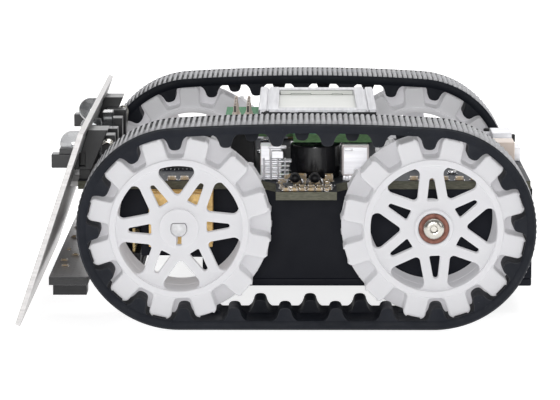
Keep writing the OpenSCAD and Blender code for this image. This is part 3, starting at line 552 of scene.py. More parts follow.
def track_place(s):
    """Centre of turn (x, z), extra radius and outward angle at a distance along the band."""
    s %= path_len
    if s < wheelbase:
        return idler_axle.x + s, axle_z, 0, -math.pi / 2
    s -= wheelbase
    if s < wrap_len:
        return drive_axle.x, axle_z, 0, -math.pi / 2 + s / pitch_r
    s -= wrap_len
    if s < top_len:
        return mid_x, axle_z - bow_drop, bow + bow_drop, math.pi / 2 - bow_angle + s / (bow + bow_drop + pitch_r)
    s -= top_len
    return idler_axle.x, axle_z, 0, math.pi / 2 + bow_angle + s / pitch_r


def track_point(s, r, y, along=0):
    """Point of the band at radius r (as on a sprocket) and along it sideways by a short distance."""
    x, z, extra, a = track_place(s)
    radial = extra + r
    return Vector((x + radial * math.cos(a) - along * math.sin(a), y, z + radial * math.sin(a) + along * math.cos(a)))


def add_band(bm):
    """The endless band: smooth inside, fine cross ribs outside, a groove and a rounded bead along each edge."""
    low_r = track_r - BAND_T
    rib_h = 0.36
    root_r = track_r - rib_h
    edge = [(0.0, low_r + 0.1), (0.0, track_r - 0.55), (0.07, track_r - 0.3), (0.22, track_r - 0.2),
            (0.38, track_r - 0.3), (0.5, track_r - 0.62), (0.68, track_r - 0.66), (0.82, track_r - 0.45),
            (0.9, root_r - 0.05)]
    rib_line = [1.1, 1.35, track_w / 2, track_w - 1.35, track_w - 1.1]
    shape = [0.0, 0.0, 0.8, 1.0, 1.0, 0.8]
    count = LUGS * RIBS_PER_LUG * len(shape)
    rings = []
    for i in range(count):
        s = path_len * i / count
        rise = shape[i % len(shape)]
        ring = [(y, r) for y, r in edge]
        for k, y in enumerate(rib_line):
            ends = k in (0, len(rib_line) - 1)
            ring.append((y, root_r + (0.35 * rise * rib_h if ends else rise * rib_h)))
        ring += [(track_w - y, r) for y, r in reversed(edge)]
        ring += [(track_w - 0.1, low_r), (track_w / 2, low_r), (0.1, low_r)]
        rings.append([bm.verts.new(track_point(s, r, outer_y - y)) for y, r in ring])
    tread_from, tread_to = len(edge) - 1, len(edge) + len(rib_line)
    for i, a in enumerate(rings):
        b = rings[(i + 1) % count]
        for k in range(len(a)):
            j = (k + 1) % len(a)
            face = bm.faces.new([a[k], b[k], b[j], a[j]])
            ribbed = tread_from <= k < tread_to
            valley = i % len(shape) in (0, len(shape) - 1)
            grooved = 5 <= k < tread_from or tread_to <= k < tread_to + 4
            # rib valleys get painted light and shade, the bead's flank a painted highlight, and the edge groove
            # painted shade
            face.material_index = (2 if valley else 1) if ribbed else 4 if grooved else 3 if k in (1, 2, 3) else 0


def add_lugs(bm, y_out, y_in, shift):
    """One row of bell shaped lugs on the inside of the band."""
    flank = [(2.55, -0.12), (2.1, 0.1), (1.72, 0.42), (1.45, 0.85), (1.27, 1.3), (1.15, 1.75), (0.95, 2.12),
             (0.62, 2.34), (0.22, 2.42)]
    outline = flank + [(-x, h) for x, h in reversed(flank)]
    bevel = 0.16
    base_r = track_r - BAND_T
    for i in range(LUGS):
        s = lug_start + (i + shift) * lug_pitch
        rings = []
        for y, shrink in ((y_out, bevel), (y_out - bevel * 0.3, bevel * 0.3), (y_out - bevel, 0),
                          (y_in + bevel, 0), (y_in + bevel * 0.3, bevel * 0.3), (y_in, bevel)):
            ring = []
            for x, h in outline:
                narrow = 1 - shrink / 1.6
                low = max(0.0, h / 2.42) * shrink
                ring.append(bm.verts.new(track_point(s, base_r - (h - low), y, x * narrow)))
            rings.append(ring)
        for n, (a, b) in enumerate(zip(rings, rings[1:])):
            for k in range(len(a)):
                j = (k + 1) % len(a)
                # the bevels round each lug's outer end get the painted highlight material
                painted_sheen = n < 2 and k not in (0, len(a) - 2, len(a) - 1)
                bm.faces.new([a[k], a[j], b[j], b[k]]).material_index = 3 if painted_sheen else 0
        bm.faces.new(rings[0])
        bm.faces.new(rings[-1])


def make_tracks():
    bm = bmesh.new()
    add_band(bm)
    middle = outer_y - track_w / 2
    add_lugs(bm, outer_y - 0.02, middle + 0.32, 0)
    add_lugs(bm, middle - 0.32, outer_y - track_w + 0.02, 0.5)
    add_pair("rubber_track", bm, "chassis", [rubber, tread, tread_gap, painted_sheen_edge, groove_painted_shade],
             "track", 50)


# ---------------------------------------------------------------------- sprockets

sprocket_low, sprocket_high = span("drive_sprocket_left")
tip_r = (sprocket_high.z - sprocket_low.z) / 2
TEETH = 12
SPOKES = 6
FLOOR_R = 13.2
RIM_R = 11.8
TOOTH_FACE = outer_y - 1.0
ROW_W = 7.0
WEB_FACE = outer_y - 1.4
WEB_T = 1.8
DISC_R = 17.12                 # thin wall between the two rows of teeth
DISC_T = 0.5
HUB_R = 3.7
HUB_FACE = outer_y - 0.8
gear_face = span("gearbox_left")[1].y


def side_place(x, y, z, turn=0):
    """Stands a plate up in the X-Z plane, so its own x and y run along X and Z and its turn is from +X to +Z."""
    stand = Matrix(((1, 0, 0, x), (0, 0, -1, y), (0, 1, 0, z), (0, 0, 0, 1)))
    return stand @ Matrix.Rotation(math.radians(turn), 4, "Z")


def tooth_outline(turn):
    """Outline of a row of teeth: flared tips on an arc, sides closing towards the rim, round pocket floors."""
    step = 360 / TEETH
    floor_round = 0.8
    floor_half = 1.6
    flare = [(15.3, 1.95), (16.0, 2.1), (16.4, 2.24), (16.66, 2.44), (16.84, 2.72), (tip_r - 0.02, 3.1)]
    floor = arc(FLOOR_R + floor_round, floor_half - floor_round, floor_round, 90, 180, 6)
    lip = list(reversed(floor)) + flare
    pocket = [(x, -y) for x, y in reversed(lip)] + lip
    tip_from = math.degrees(math.asin(3.3 / tip_r))
    one = []
    for i in range(TEETH):
        one += turned(pocket, i * step)
        one += arc(0, 0, tip_r, i * step + tip_from, (i + 1) * step - tip_from, 5)
    return turned(one, turn)


def window_outline():
    """A rounded triangle between two pairs of spokes, pointing at the hub."""
    c30, s30 = math.cos(math.radians(30)), math.sin(math.radians(30))
    beside = [(a * c30 + b * s30, -a * s30 + b * c30) for a, b in ((6.3, 2.72), (11.2, 2.02))]
    (x0, y0), (x1, y1) = beside
    lean = math.atan2(y0 - y1, x1 - x0)
    apex_x = x0 + y0 / math.tan(lean)
    apex_round, corner_round = 0.75, 1.15
    off = apex_x * math.sin(lean) + corner_round
    reach = math.sqrt((RIM_R - corner_round) ** 2 - off ** 2)
    cx = off * math.sin(lean) + reach * math.cos(lean)
    cy = off * math.cos(lean) - reach * math.sin(lean)
    turn, tilt = math.degrees(math.atan2(cy, cx)), math.degrees(lean)
    return (arc(apex_x + apex_round / math.sin(lean), 0, apex_round, 90 + tilt, 270 - tilt, 7)
            + arc(cx, cy, corner_round, 270 - tilt, 360 + turn, 7)
            + arc(0, 0, RIM_R, turn * 0.85, -turn * 0.85, 12)
            + arc(cx, -cy, corner_round, -turn, 90 + tilt, 7))


def slot_outline():
    """A narrow tapered slot inside a pair of spokes."""
    return (arc(5.45, -0.72, 0.28, 270, 180, 3) + arc(5.45, 0.72, 0.28, 180, 90, 3)
            + arc(8.98, 0, 0.48, 80, -80, 6))


def add_sprocket(bm, axle, turn, spoke_turn):
    def plate(outlines, front, thickness, bevel, spin=0, steps=3):
        add_plate(bm, outlines, thickness, bevel,
                  side_place(axle.x, front - thickness / 2, axle.z, spin), steps)

    inner = circle(0, 0, RIM_R, 72)
    plate([tooth_outline(turn), inner], TOOTH_FACE, ROW_W, 0.34, steps=5)
    plate([tooth_outline(turn + 180 / TEETH), inner], TOOTH_FACE - ROW_W, ROW_W, 0.34, steps=5)
    plate([circle(0, 0, FLOOR_R - 0.15, 96), circle(0, 0, RIM_R - 0.02, 96)], TOOTH_FACE + 0.42, 1.6, 0.22)
    plate([circle(0, 0, FLOOR_R - 0.4, 96), circle(0, 0, RIM_R - 0.01, 96)], TOOTH_FACE - 2 * ROW_W + 0.3, 1.2, 0.2)
    holes = [circle(0, 0, HUB_R - 0.5, 48)]
    for i in range(SPOKES):
        holes.append(turned(slot_outline(), spoke_turn + i * 60))
        holes.append(turned(window_outline(), spoke_turn + 30 + i * 60))
    plate([circle(0, 0, RIM_R + 0.9, 96)] + holes, WEB_FACE, WEB_T, 0.22)
    plate([circle(0, 0, DISC_R, 144), circle(0, 0, RIM_R + 0.3, 96)], TOOTH_FACE - ROW_W + DISC_T / 2, DISC_T, 0.15)


def add_hub_rings(bm, axle, bore, flare, back):
    """The stepped boss of a sprocket, with its bore."""
    front = HUB_FACE - axle.y
    profile = [(bore, back), (HUB_R - 0.25, back), (HUB_R, back + 0.25), (HUB_R, WEB_FACE - axle.y - 0.05),
               (HUB_R, front - 0.32), (HUB_R - 0.1, front - 0.12), (HUB_R - 0.3, front),
               (flare + 0.35, front), (flare + 0.12, front - 0.06), (flare, front - 0.2), (flare, front - 0.7),
               (bore, front - 0.8)]
    add_lathe(bm, profile, axle, "Y", 64)


def d_outline(r, flat):
    """A round bore or shaft with a flat on its upper side."""
    start = math.degrees(math.asin(flat / r))
    return arc(0, 0, r, 180 - start, 360 + start, 36)


def make_sprockets():
    axle_drive = Vector((drive_axle.x, 0, axle_z))
    axle_idler = Vector((idler_axle.x, 0, axle_z))
    bm = bmesh.new()
    add_sprocket(bm, axle_drive, -2.5, -2.5)
    back = gear_face + 0.8
    slit_half = 0.5
    start = math.degrees(math.asin(slit_half / HUB_R))
    bore_start = math.degrees(math.asin(slit_half / 1.6))
    flat_start = math.degrees(math.asin(1.05 / 1.56))
    hub = (arc(0, 0, HUB_R, 270 + start, 270 + 360 - start, 60)
           + [(-slit_half, -HUB_R + 0.3)]
           + arc(0, 0, 1.56, 270 - bore_start, 180 - flat_start, 16)
           + arc(0, 0, 1.56, flat_start, -90 + bore_start, 16) + [(slit_half, -HUB_R + 0.3)])
    add_plate(bm, [hub], HUB_FACE - back, 0.14,
              side_place(axle_drive.x, (HUB_FACE + back) / 2, axle_z))
    add_pair("white_drive_sprocket", bm, "drive", white_abs, "drive_sprocket")
    bm = bmesh.new()
    add_sprocket(bm, axle_idler, -2.5, 27.5)
    add_hub_rings(bm, axle_idler, 2.66, 2.92, TOOTH_FACE - 2 * ROW_W)
    add_pair("white_idler_sprocket", bm, "idler", white_abs, "idler_sprocket")


# ------------------------------------------------------------ shafts, bolts, motors

def make_axles():
    """D shafts of the drive, and the idlers' bushings and bolts."""
    low, high = span("drive_shaft_left")
    root_y = gear_face + 1
    bm = bmesh.new()
    add_plate(bm, [d_outline(1.5, 1.0)], high.y - gear_face - 1, 0.12,
              side_place(drive_axle.x, (high.y + gear_face + 1) / 2, axle_z))
    add_lathe(bm, [(0, low.y), (1.38, low.y), (1.5, low.y + 0.12), (1.5, root_y + 0.05), (0, root_y + 0.05)],
              (drive_axle.x, 0, axle_z), "Y", 36)
    add_pair("steel_shaft", bm, "drive", shaft_steel, "drive_shaft")

    idler = (idler_axle.x, 0, axle_z)
    wall_y, face = span("chassis_body")[1].y, span("idler_bushings")[1].y
    bm = bmesh.new()
    profile = [(1.55, wall_y), (2.6, wall_y), (2.6, face - 0.65), (2.85, face - 0.6), (2.85, face - 0.1),
               (2.76, face), (2.2, face), (2.12, face - 0.06), (1.55, face - 0.06)]
    add_lathe(bm, profile, idler, "Y", 56)
    add_both_sides(bm)
    add_piece("bronze_bushings", bm, "chassis", bronze, ["idler_bushings"])

    head = span("idler_bolts")[1].y
    end = wall_y - 4.3
    bm = bmesh.new()
    dome = [(0, head - 0.42), (0.55, head - 0.42), (0.62, head - 0.36), (0.7, head - 0.06), (0.8, head - 0.01),
            (1.2, head - 0.03), (1.6, head - 0.14), (1.88, head - 0.33), (2.0, head - 0.55), (2.0, face - 0.03),
            (1.5, face - 0.03), (1.5, end + 0.3), (1.2, end), (0, end)]
    add_lathe(bm, dome, idler, "Y", 48)
    add_both_sides(bm)
    add_piece("bright_idler_bolts", bm, "chassis", bright_steel, ["idler_bolts"])


# ------------------------------------------------------------------- board details

def add_part(bm, x, y, size, turn=0, body=0, metal=1, z=None):
    """A small ceramic part with metal ends and solder at its feet, lying on a board."""
    z = board_top if z is None else z
    length, width, height = size
    spin = Matrix.Rotation(math.radians(turn), 3, "Z")
    add_box(bm, (x, y, z + height / 2 + 0.02), (length * 0.6, width, height * 0.94), 0.05, 2, body, spin)
    for side in (-1, 1):
        offset = spin @ Vector((side * length * 0.37, 0, 0))
        add_box(bm, (x + offset.x, y + offset.y, z + height / 2), (length * 0.26, width * 1.05, height), 0.07, 2,
                metal, spin)
        offset = spin @ Vector((side * length * 0.55, 0, 0))
        add_box(bm, (x + offset.x, y + offset.y, z + 0.09), (length * 0.22, width * 0.85, 0.18), 0.08, 2, metal, spin)


def add_cross_head(bm, place, r, h):
    """A domed screw head with a cross recess, standing on its place."""
    steps = 72
    arm, half_arm = r * 0.62, r * 0.13

    def recess(a):
        off = abs((a + math.pi / 4) % (math.pi / 2) - math.pi / 4)
        return min(arm, half_arm / max(math.sin(off), 1e-6))

    rings = [[bm.verts.new(Vector((0, 0, h - 0.65 * h)) + Vector(place))]]
    for wide, z in ((0.86, h - 0.6 * h), (1.0, h - 0.1 * h), (1.12, h - 0.03 * h)):
        angles = [TAU * i / steps for i in range(steps)]
        rings.append([bm.verts.new(Vector((wide * recess(a) * math.cos(a), wide * recess(a) * math.sin(a), z))
                                   + Vector(place)) for a in angles])
    for rr, z in ((r * 0.78, h * 0.88), (r * 0.93, h * 0.66), (r, h * 0.3), (r, 0.06), (r * 0.97, 0)):
        rings.append([bm.verts.new(Vector((rr * math.cos(TAU * i / steps), rr * math.sin(TAU * i / steps), z))
                                   + Vector(place)) for i in range(steps)])
    rings.append([bm.verts.new(place)])
    add_ring_walls(bm, zip(rings, rings[1:]), steps)


tab_edge_y = board_high.y
CERAMIC, SOLDER, AMBER, EPOXY, PALE = range(5)


def make_tab_parts():
    """Crowded small parts on the tabs and along the board's long edges."""
    bm = bmesh.new()
    tab_half = 5.2
    rows = [(tab_edge_y - 1.0, 1.5, (1.3, 0.8, 0.6)), (tab_edge_y - 2.6, 1.45, (0.8, 1.3, 0.65)),
            (tab_edge_y - 4.4, 1.7, (1.4, 0.8, 0.75)), (tab_edge_y - 8.9, 2.0, (1.6, 0.9, 0.8)),
            (tab_edge_y - 10.8, 1.8, (1.5, 0.9, 0.9))]
    for y, pitch, size in rows:
        count = int(2 * tab_half / pitch)
        for i in range(count):
            x = mid_x + (i - (count - 1) / 2) * pitch + random.uniform(-0.15, 0.15)
            kind = random.choice([CERAMIC, CERAMIC, CERAMIC, EPOXY, AMBER, PALE])
            lean = random.choice([0, 0, 0, 90])
            add_part(bm, x, y + random.uniform(-0.15, 0.15), size, lean, kind, SOLDER)
    for i in range(9):
        x = mid_x + random.uniform(-tab_half, tab_half)
        add_lathe(bm, [(0, board_top + 0.3), (0.25, board_top + 0.26), (0.42, board_top + 0.1),
                       (0.46, board_top - 0.01), (0, board_top - 0.01)],
                  (x, tab_edge_y - random.uniform(0.8, 9), 0), "Z", 16, SOLDER)
    edge_y = 30.3
    for start, count, pitch in ((mid_x + 13.6, 6, 2.4), (mid_x - 20.6, 6, -2.9)):
        for i in range(count):
            kind = random.choice([CERAMIC, EPOXY, AMBER, CERAMIC])
            add_part(bm, start + i * pitch, edge_y, (1.6, 0.9, 0.75), 0, kind, SOLDER)
    for x, y, size, kind in ((3.25, 31.2, (1.9, 1.4, 1.3), AMBER), (0.85, 30.6, (1.9, 1.4, 1.3), AMBER),
                             (-4.35, 32.0, (1.6, 1.8, 1.4), AMBER), (-1.55, 31.6, (2.0, 1.2, 1.0), EPOXY),
                             (-2.95, 34.6, (1.6, 1.0, 0.8), PALE), (4.45, 34.8, (1.8, 1.0, 0.8), CERAMIC)):
        add_part(bm, mid_x + x, y, size, 0, kind, SOLDER)
    add_both_sides(bm)
    add_piece("small_parts", bm, "chassis", [ceramic, solder, amber, dark_epoxy, pale_plastic],
              ["board_parts"])


def make_emitters():
    """Domed sideways emitters on bent legs."""
    bm = bmesh.new()
    y = span("side_emitters")[1].y - 0.5
    for side in (-1, 1):
        x = mid_x + 0.25 + side * 1.86
        z = board_top + 1.7
        add_lathe(bm, [(0, 0.75), (0.3, 0.71), (0.58, 0.55), (0.78, 0.3), (0.86, 0), (0.86, -0.5), (0.98, -0.52),
                       (0.98, -1.0), (0.9, -1.08), (0, -1.08)], (x, y, z), "Y", 32, 0)
        for hand in (-1, 1):
            add_tube(bm, smooth_path([(x + hand * 0.5, y - 0.9, z - 0.2), (x + hand * 1.15, y - 0.85, z - 0.3),
                                      (x + hand * 1.4, y - 0.8, z - 1.0), (x + hand * 1.4, y - 0.8, z - 1.72)], 4),
                     0.24, 8, 1)
            add_box(bm, (x + hand * 1.4, y - 0.8, board_top + 0.12), (0.9, 0.9, 0.24), 0.1, 2, 1)
    add_both_sides(bm)
    add_piece("emitters", bm, "chassis", [black_nylon, solder], ["side_emitters"])


def make_receivers():
    """Two tall parts at each tab's root: a leaved metal contact block and a pale moulded block."""
    face_y, top_z = span("side_receivers")[1].yz
    metal, pale, black, shell = range(4)
    bm = bmesh.new()
    x0, x1 = mid_x + 3.2, mid_x + 8.9
    cx = (x0 + x1) / 2
    width, depth = x1 - x0, 4.0
    add_box(bm, (cx + 0.6, face_y - depth / 2 - 0.5, (board_top + top_z) / 2),
            (width * 0.72, depth - 1.0, top_z - board_top), 0.25, 3, pale)
    add_box(bm, (cx + 1.7, face_y - depth / 2 - 0.15, top_z - 2.1), (width * 0.34, depth - 0.5, 4.0), 0.2, 3, pale)
    add_box(bm, (cx - 0.6, face_y - 0.9, top_z - 1.9), (2.3, 1.4, 1.55), 0.1, 2, black)
    add_box(bm, (cx - 0.6, face_y - 0.9, top_z - 0.5), (3.4, 1.7, 0.5), 0.15, 2, metal)
    leaves, leaf_pitch = 5, 0.82
    lowest = board_top + 0.45
    for i in range(leaves):
        reach = 0.25 * ((i * 2) % 3)
        add_box(bm, (cx - 0.15 * i, face_y - 1.5, lowest + i * leaf_pitch), (width * 0.86 + reach, 2.9, 0.42), 0.16, 3,
                i % 2)
    bend_z = lowest + (leaves - 1) * leaf_pitch
    pins, pin_pitch = 4, 1.35
    for i in range(pins):
        x = x0 + 0.8 + i * pin_pitch
        add_tube(bm, smooth_path([(x, face_y - 0.3, bend_z + 0.6), (x, face_y - 0.02, bend_z),
                                  (x, face_y - 0.02, board_top + 0.2)], 4), 0.17, 8, metal)
    bx = mid_x - 9.4
    add_box(bm, (bx, face_y - 2.3, (board_top + 0.9 + top_z - 0.1) / 2),
            (5.2, 4.2, top_z - board_top - 1.0), 0.4, 4, shell)
    add_box(bm, (bx, face_y - 2.3, board_top + 0.55), (4.8, 4.0, 1.0), 0.15, 2, metal)
    add_box(bm, (bx + 1.3, face_y - 0.18, top_z - 0.9), (1.5, 0.15, 0.5), 0.05, 2, pale)
    for i in range(3):
        add_box(bm, (bx - 1.6 + i * 1.6, face_y - 0.15, board_top + 0.5), (0.7, 0.3, 1.0), 0.1, 2, metal)
    add_both_sides(bm)
    add_piece("receivers", bm, "chassis", [tinned, pale_plastic, black_nylon, pearl],
              ["side_receivers"])


def make_chips():
    """Legs round the flat chips, added to the chips themselves."""
    bm = bmesh.new()
    for x, y, size, count in ((mid_x + 24, 12, 9, 11), (mid_x + 24, -12, 7, 8)):
        for i in range(count):
            off = (i - (count - 1) / 2) * (size - 1.2) / (count - 1)
            for side in (-1, 1):
                edge = side * (size / 2 + 0.3)
                add_box(bm, (x + edge, y + off, board_top + 0.2), (0.9, 0.26, 0.3), 0.08, 2)
                add_box(bm, (x + off, y + edge, board_top + 0.2), (0.26, 0.9, 0.3), 0.08, 2)
    for i in range(4):
        for side in (-1, 1):
            add_box(bm, (mid_x + 23 + side * 2.8, (i - 1.5) * 1.27, board_top + 0.25), (0.9, 0.42, 0.36), 0.1, 2)
            add_box(bm, (mid_x - 25 + side * 2.3, -14 + (i - 1.5) * 1.1, board_top + 0.25), (0.8, 0.36, 0.36), 0.1, 2)
    for i in range(26):
        x = random.uniform(mid_x - 38, mid_x + 26)
        y = random.choice([-1, 1]) * random.uniform(4, 26)
        add_part(bm, x, y, (1.6, 0.85, 0.6), random.choice([0, 90]), 1, 0)
    add_piece("chip_legs", bm, "chassis", [solder, ceramic])
    refine("board_chips", dark_epoxy, 0.12, 2)


def make_sounder():
    """A round can with a hole in its top and a groove near its foot."""
    low, high = span("buzzer")
    x, y = middle_of("buzzer").xy
    r, top = (high.x - low.x) / 2, high.z
    bm = bmesh.new()
    add_lathe(bm, [(0, top - 1.2), (0.9, top - 1.2), (0.98, top - 1.1), (1.0, top - 0.12), (1.15, top),
                   (r - 0.5, top), (r - 0.15, top - 0.12), (r, top - 0.45), (r, board_top + 1.3),
                   (r - 0.12, board_top + 1.22), (r - 0.12, board_top + 1.0), (r, board_top + 0.92),
                   (r, board_top + 0.1), (0, board_top + 0.1)], (x, y, 0), "Z", 72)
    add_piece("sounder", bm, "chassis", gloss_black, ["buzzer"])


# -------------------------------------------------------------------------- display

WINDOW = (15.2, 31.0)          # length and width of the display's opening
LIP = 1.2                      # from the shell's top down to the pane


def make_display():
    low, high = span("display_frame")
    cx, cy = middle_of("display_frame").xy
    length, width, height = high - low
    mid_z, top = (low.z + high.z) / 2, high.z
    half_l, half_w = WINDOW[0] / 2, WINDOW[1] / 2
    side, end = length / 2 - half_l, width / 2 - half_w
    groove = 0.28
    outer_strip = side * 0.42
    inner_strip = side - outer_strip - groove
    bm = bmesh.new()
    for hand in (-1, 1):
        add_box(bm, (cx + hand * (length / 2 - outer_strip / 2), cy, mid_z), (outer_strip, width, height), 0.35, 4)
        add_box(bm, (cx + hand * (half_l + inner_strip / 2), cy, mid_z), (inner_strip, width, height - 0.06), 0.18, 3)
        add_box(bm, (cx + hand * (length / 2 - outer_strip - groove / 2), cy, mid_z - 0.2),
                (groove + 0.4, width - 0.8, height - 0.5), 0.1, 2)
        add_box(bm, (cx, cy + hand * (width / 2 - end / 2), mid_z - 0.05), (2 * half_l + 0.4, end, height - 0.1), 0.2, 3)
    add_piece("display_shell", bm, "chassis", display_metal, ["display_frame"])

    glass_z, glass_top = span("display_glass")[0].z, top - LIP
    far_y = cy - half_w
    bm = bmesh.new()
    add_box(bm, (cx, cy, (glass_z + glass_top) / 2), (2 * half_l + 1.2, 2 * half_w + 1.2, glass_top - glass_z),
            0.1, 2, 0)
    add_box(bm, (cx, far_y + 0.25, glass_top + LIP * 0.4), (2 * half_l - 0.3, 0.5, LIP * 0.8), 0.08, 2, 1)
    add_box(bm, (cx + 3.2, far_y + 0.55, glass_top + 0.18), (4.2, 0.5, 0.35), 0.08, 2, 2)
    add_box(bm, (cx - 4.2, far_y + 0.55, glass_top + 0.15), (2.2, 0.5, 0.3), 0.08, 2, 2)
    add_piece("display_pane", bm, "chassis", [display_pale, dark_epoxy, dull_green],
              ["display_glass"])

    bm = bmesh.new()
    add_box(bm, (cx - 0.2, high.y - 0.12, mid_z - 0.25), (length - 0.7, 0.5, height - 0.6), 0.12, 2, 0)
    for x, w in ((4.6, 1.5), (-1.4, 0.8), (-6.2, 1.0)):
        add_box(bm, (cx + x, high.y + 0.12, top - 0.75), (w, 0.12, 0.35), 0.05, 2, 1)
    add_lathe(bm, [(0, 0.3), (0.7, 0.26), (0.95, 0), (0.95, -0.3), (0, -0.3)],
              (high.x - 1.6, high.y + 0.02, top - 1.3), "Y", 24, 0)
    add_piece("display_side_strip", bm, "chassis", [black_nylon, tinned])


def make_display_pins():
    """Two rows of pins up through the display board, with solder round them."""
    low, high = span("display_header")
    cx, cy = middle_of("display_header").xy
    base = span("display_board")[0].z
    solder_z = base + 1.6
    pitch = 2.54
    bm = bmesh.new()
    add_box(bm, (cx, cy, (board_top + base) / 2), (high.x - low.x, high.y - low.y, base - board_top - 0.04), 0.2, 2, 0)
    for row in (-0.5, 0.5):
        for i in range(-3, 4):
            x, y = cx + row * pitch, cy + i * pitch
            add_box(bm, (x, y, (base + high.z) / 2), (0.6, 0.6, high.z - base), 0.12, 2, 2)
            add_lathe(bm, [(0, solder_z + 2.3), (0.4, solder_z + 2.2), (0.5, solder_z + 1.0), (0.8, solder_z + 0.2),
                           (0.98, solder_z), (0, solder_z)], (x, y, 0), "Z", 16, 2)
    add_piece("display_pins", bm, "chassis", [black_nylon, gold, cream, solder], ["display_header"])
    refine("display_board", green_mask, 0.06, 1)


# ------------------------------------------------------------------- blade and front

LAMP_R = 2.5
EYE_R = 1.5


def dome_profile(r, tip, steps):
    """The outline of a dome, from its tip on the axis to its widest ring."""
    angles = [math.pi / 2 * k / steps for k in range(1, steps + 1)]
    return [(0, tip)] + [(r * math.sin(a), tip - r + r * math.cos(a)) for a in angles]


def make_lamps():
    """Clear lamps, the metal cups and legs inside them, and their bent leads down to the board."""
    low, high = span("front_lamps")
    y, z = high.y - LAMP_R, (low.z + high.z) / 2
    tip, tail = high.x, low.x
    bm = bmesh.new()
    add_lathe(bm, dome_profile(LAMP_R, tip, 12) + [(LAMP_R, tail + 0.15), (LAMP_R - 0.15, tail), (0, tail)],
              (0, y, z), "X", 48)
    add_both_sides(bm)
    add_piece("clear_lamps", bm, "chassis", clear_resin, ["front_lamps"])

    bm = bmesh.new()
    cup = tip - 4.9
    add_lathe(bm, [(0.35, cup), (0.95, cup + 0.9), (1.15, cup + 0.9), (1.2, cup + 0.6), (0.8, cup - 0.6),
                   (0.3, cup - 0.8), (0, cup - 0.8), (0, cup)], (0, y, z), "X", 24)
    add_box(bm, (cup + 0.15, y, z), (0.25, 0.4, 0.4), 0.05, 1, 1)
    for hand in (-1, 1):
        add_box(bm, ((cup + tail) / 2, y + hand * 1.1, z), (cup - tail - 0.2, 0.5, 0.9), 0.1)
    add_both_sides(bm)
    add_piece("lamp_cores", bm, "chassis", [tinned, amber])

    bm = bmesh.new()
    foot_x = tail - 1.5
    for hand in (-1, 1):
        lead_y = y + hand * 1.27
        add_tube(bm, smooth_path([(tail - 0.02, lead_y, z), (tail - 1.2, lead_y, z + 0.5),
                                  (tail - 2.0, lead_y, z - 0.2), (tail - 1.9, lead_y, z - 2.4),
                                  (foot_x, lead_y, board_top + 1.2), (foot_x, lead_y, board_top)], 6), 0.27)
        add_lathe(bm, [(0, board_top + 0.8), (0.3, board_top + 0.75), (0.6, board_top + 0.2), (0.8, board_top),
                       (0, board_top)], (foot_x, lead_y, 0), "Z", 16)
    add_both_sides(bm)
    add_piece("bent_leads", bm, "chassis", bright_steel, ["lamp_leads"])

    low, high = span("front_eye")
    bm = bmesh.new()
    add_lathe(bm, dome_profile(EYE_R, high.x, 10) + [(EYE_R, high.x - 4.2), (0, high.x - 4.2)], (0, 0, z), "X", 40)
    add_box(bm, (low.x + 1.1, 0, (board_top + high.z) / 2), (2.2, 5, high.z - board_top), 0.2, 3, 1)
    add_piece("centre_eye", bm, "chassis", [clear_resin, black_nylon], ["front_eye"])


def make_front():
    """The blade, what stands behind it, and the line sensor board with its small parts."""
    refine("blade", blade_steel, 0.18, 3)
    make_lamps()
    for node in ("lamp_holders", "front_shrouds", "front_uprights"):
        refine(node, grey_black, 0.16, 3)
    refine("line_sensors", black_nylon, 0.12)
    refine("front_sensor_board", grey_mask, 0.08)
    refine("header_strips", black_nylon, 0.18)
    refine("header_pins", gold, 0.08, 1)
    low, high = span("front_sensor_board")
    bm = bmesh.new()
    for i in range(4):
        x = high.x - random.uniform(1.6, 5.8)
        for side in (-1, 1):
            add_part(bm, x, side * (27 - i * 6.3), (1.3, 0.8, 0.45), random.choice([0, 90]), 2, 1, high.z)
    for y in (-34, -17, 0, 17, 34):
        for hand in (-1, 1):
            for along in (1.2, -1.2):
                add_box(bm, (high.x - 3.7 + hand * 3.0, y + along, low.z - 0.25), (0.9, 0.5, 0.4), 0.1, 2, 1)
    add_piece("sensor_board_parts", bm, "chassis", [ceramic, solder, dark_epoxy])


# ------------------------------------------------------------------ body and drives

SCREW_HEAD_R = 1.9
SCREW_R = 0.98


def make_screws():
    """Screws with domed heads, at the middles of the CAD screws' heads."""
    for node in ("board_screws", "blade_screws"):
        low, high = span(node)
        groups = {}
        for v in frame["nodes"][node].data.vertices:
            x, y, z = v.co / MM
            if z > high.z - 0.05:
                groups.setdefault((x > mid_x, y > 0), []).append(Vector((x, y, z)))
        bm = bmesh.new()
        for points in groups.values():
            x = (min(p.x for p in points) + max(p.x for p in points)) / 2
            y = (min(p.y for p in points) + max(p.y for p in points)) / 2
            add_cross_head(bm, (x, y, board_top), SCREW_HEAD_R, high.z - board_top)
            add_lathe(bm, [(0, board_top), (SCREW_R, board_top), (SCREW_R, low.z + 0.4), (0.6, low.z), (0, low.z)],
                      (x, y, 0), "Z", 24)
        add_piece("fine_" + node, bm, "chassis", bright_steel, [node])


def gear_outline(r, teeth, depth=0.38):
    """A small pinion's outline."""
    outline = []
    for i in range(teeth):
        for a, rr in ((0.05, r), (0.3, r), (0.42, r - depth), (0.93, r - depth)):
            t = (i + a) * TAU / teeth
            outline.append((rr * math.cos(t), rr * math.sin(t)))
    return outline


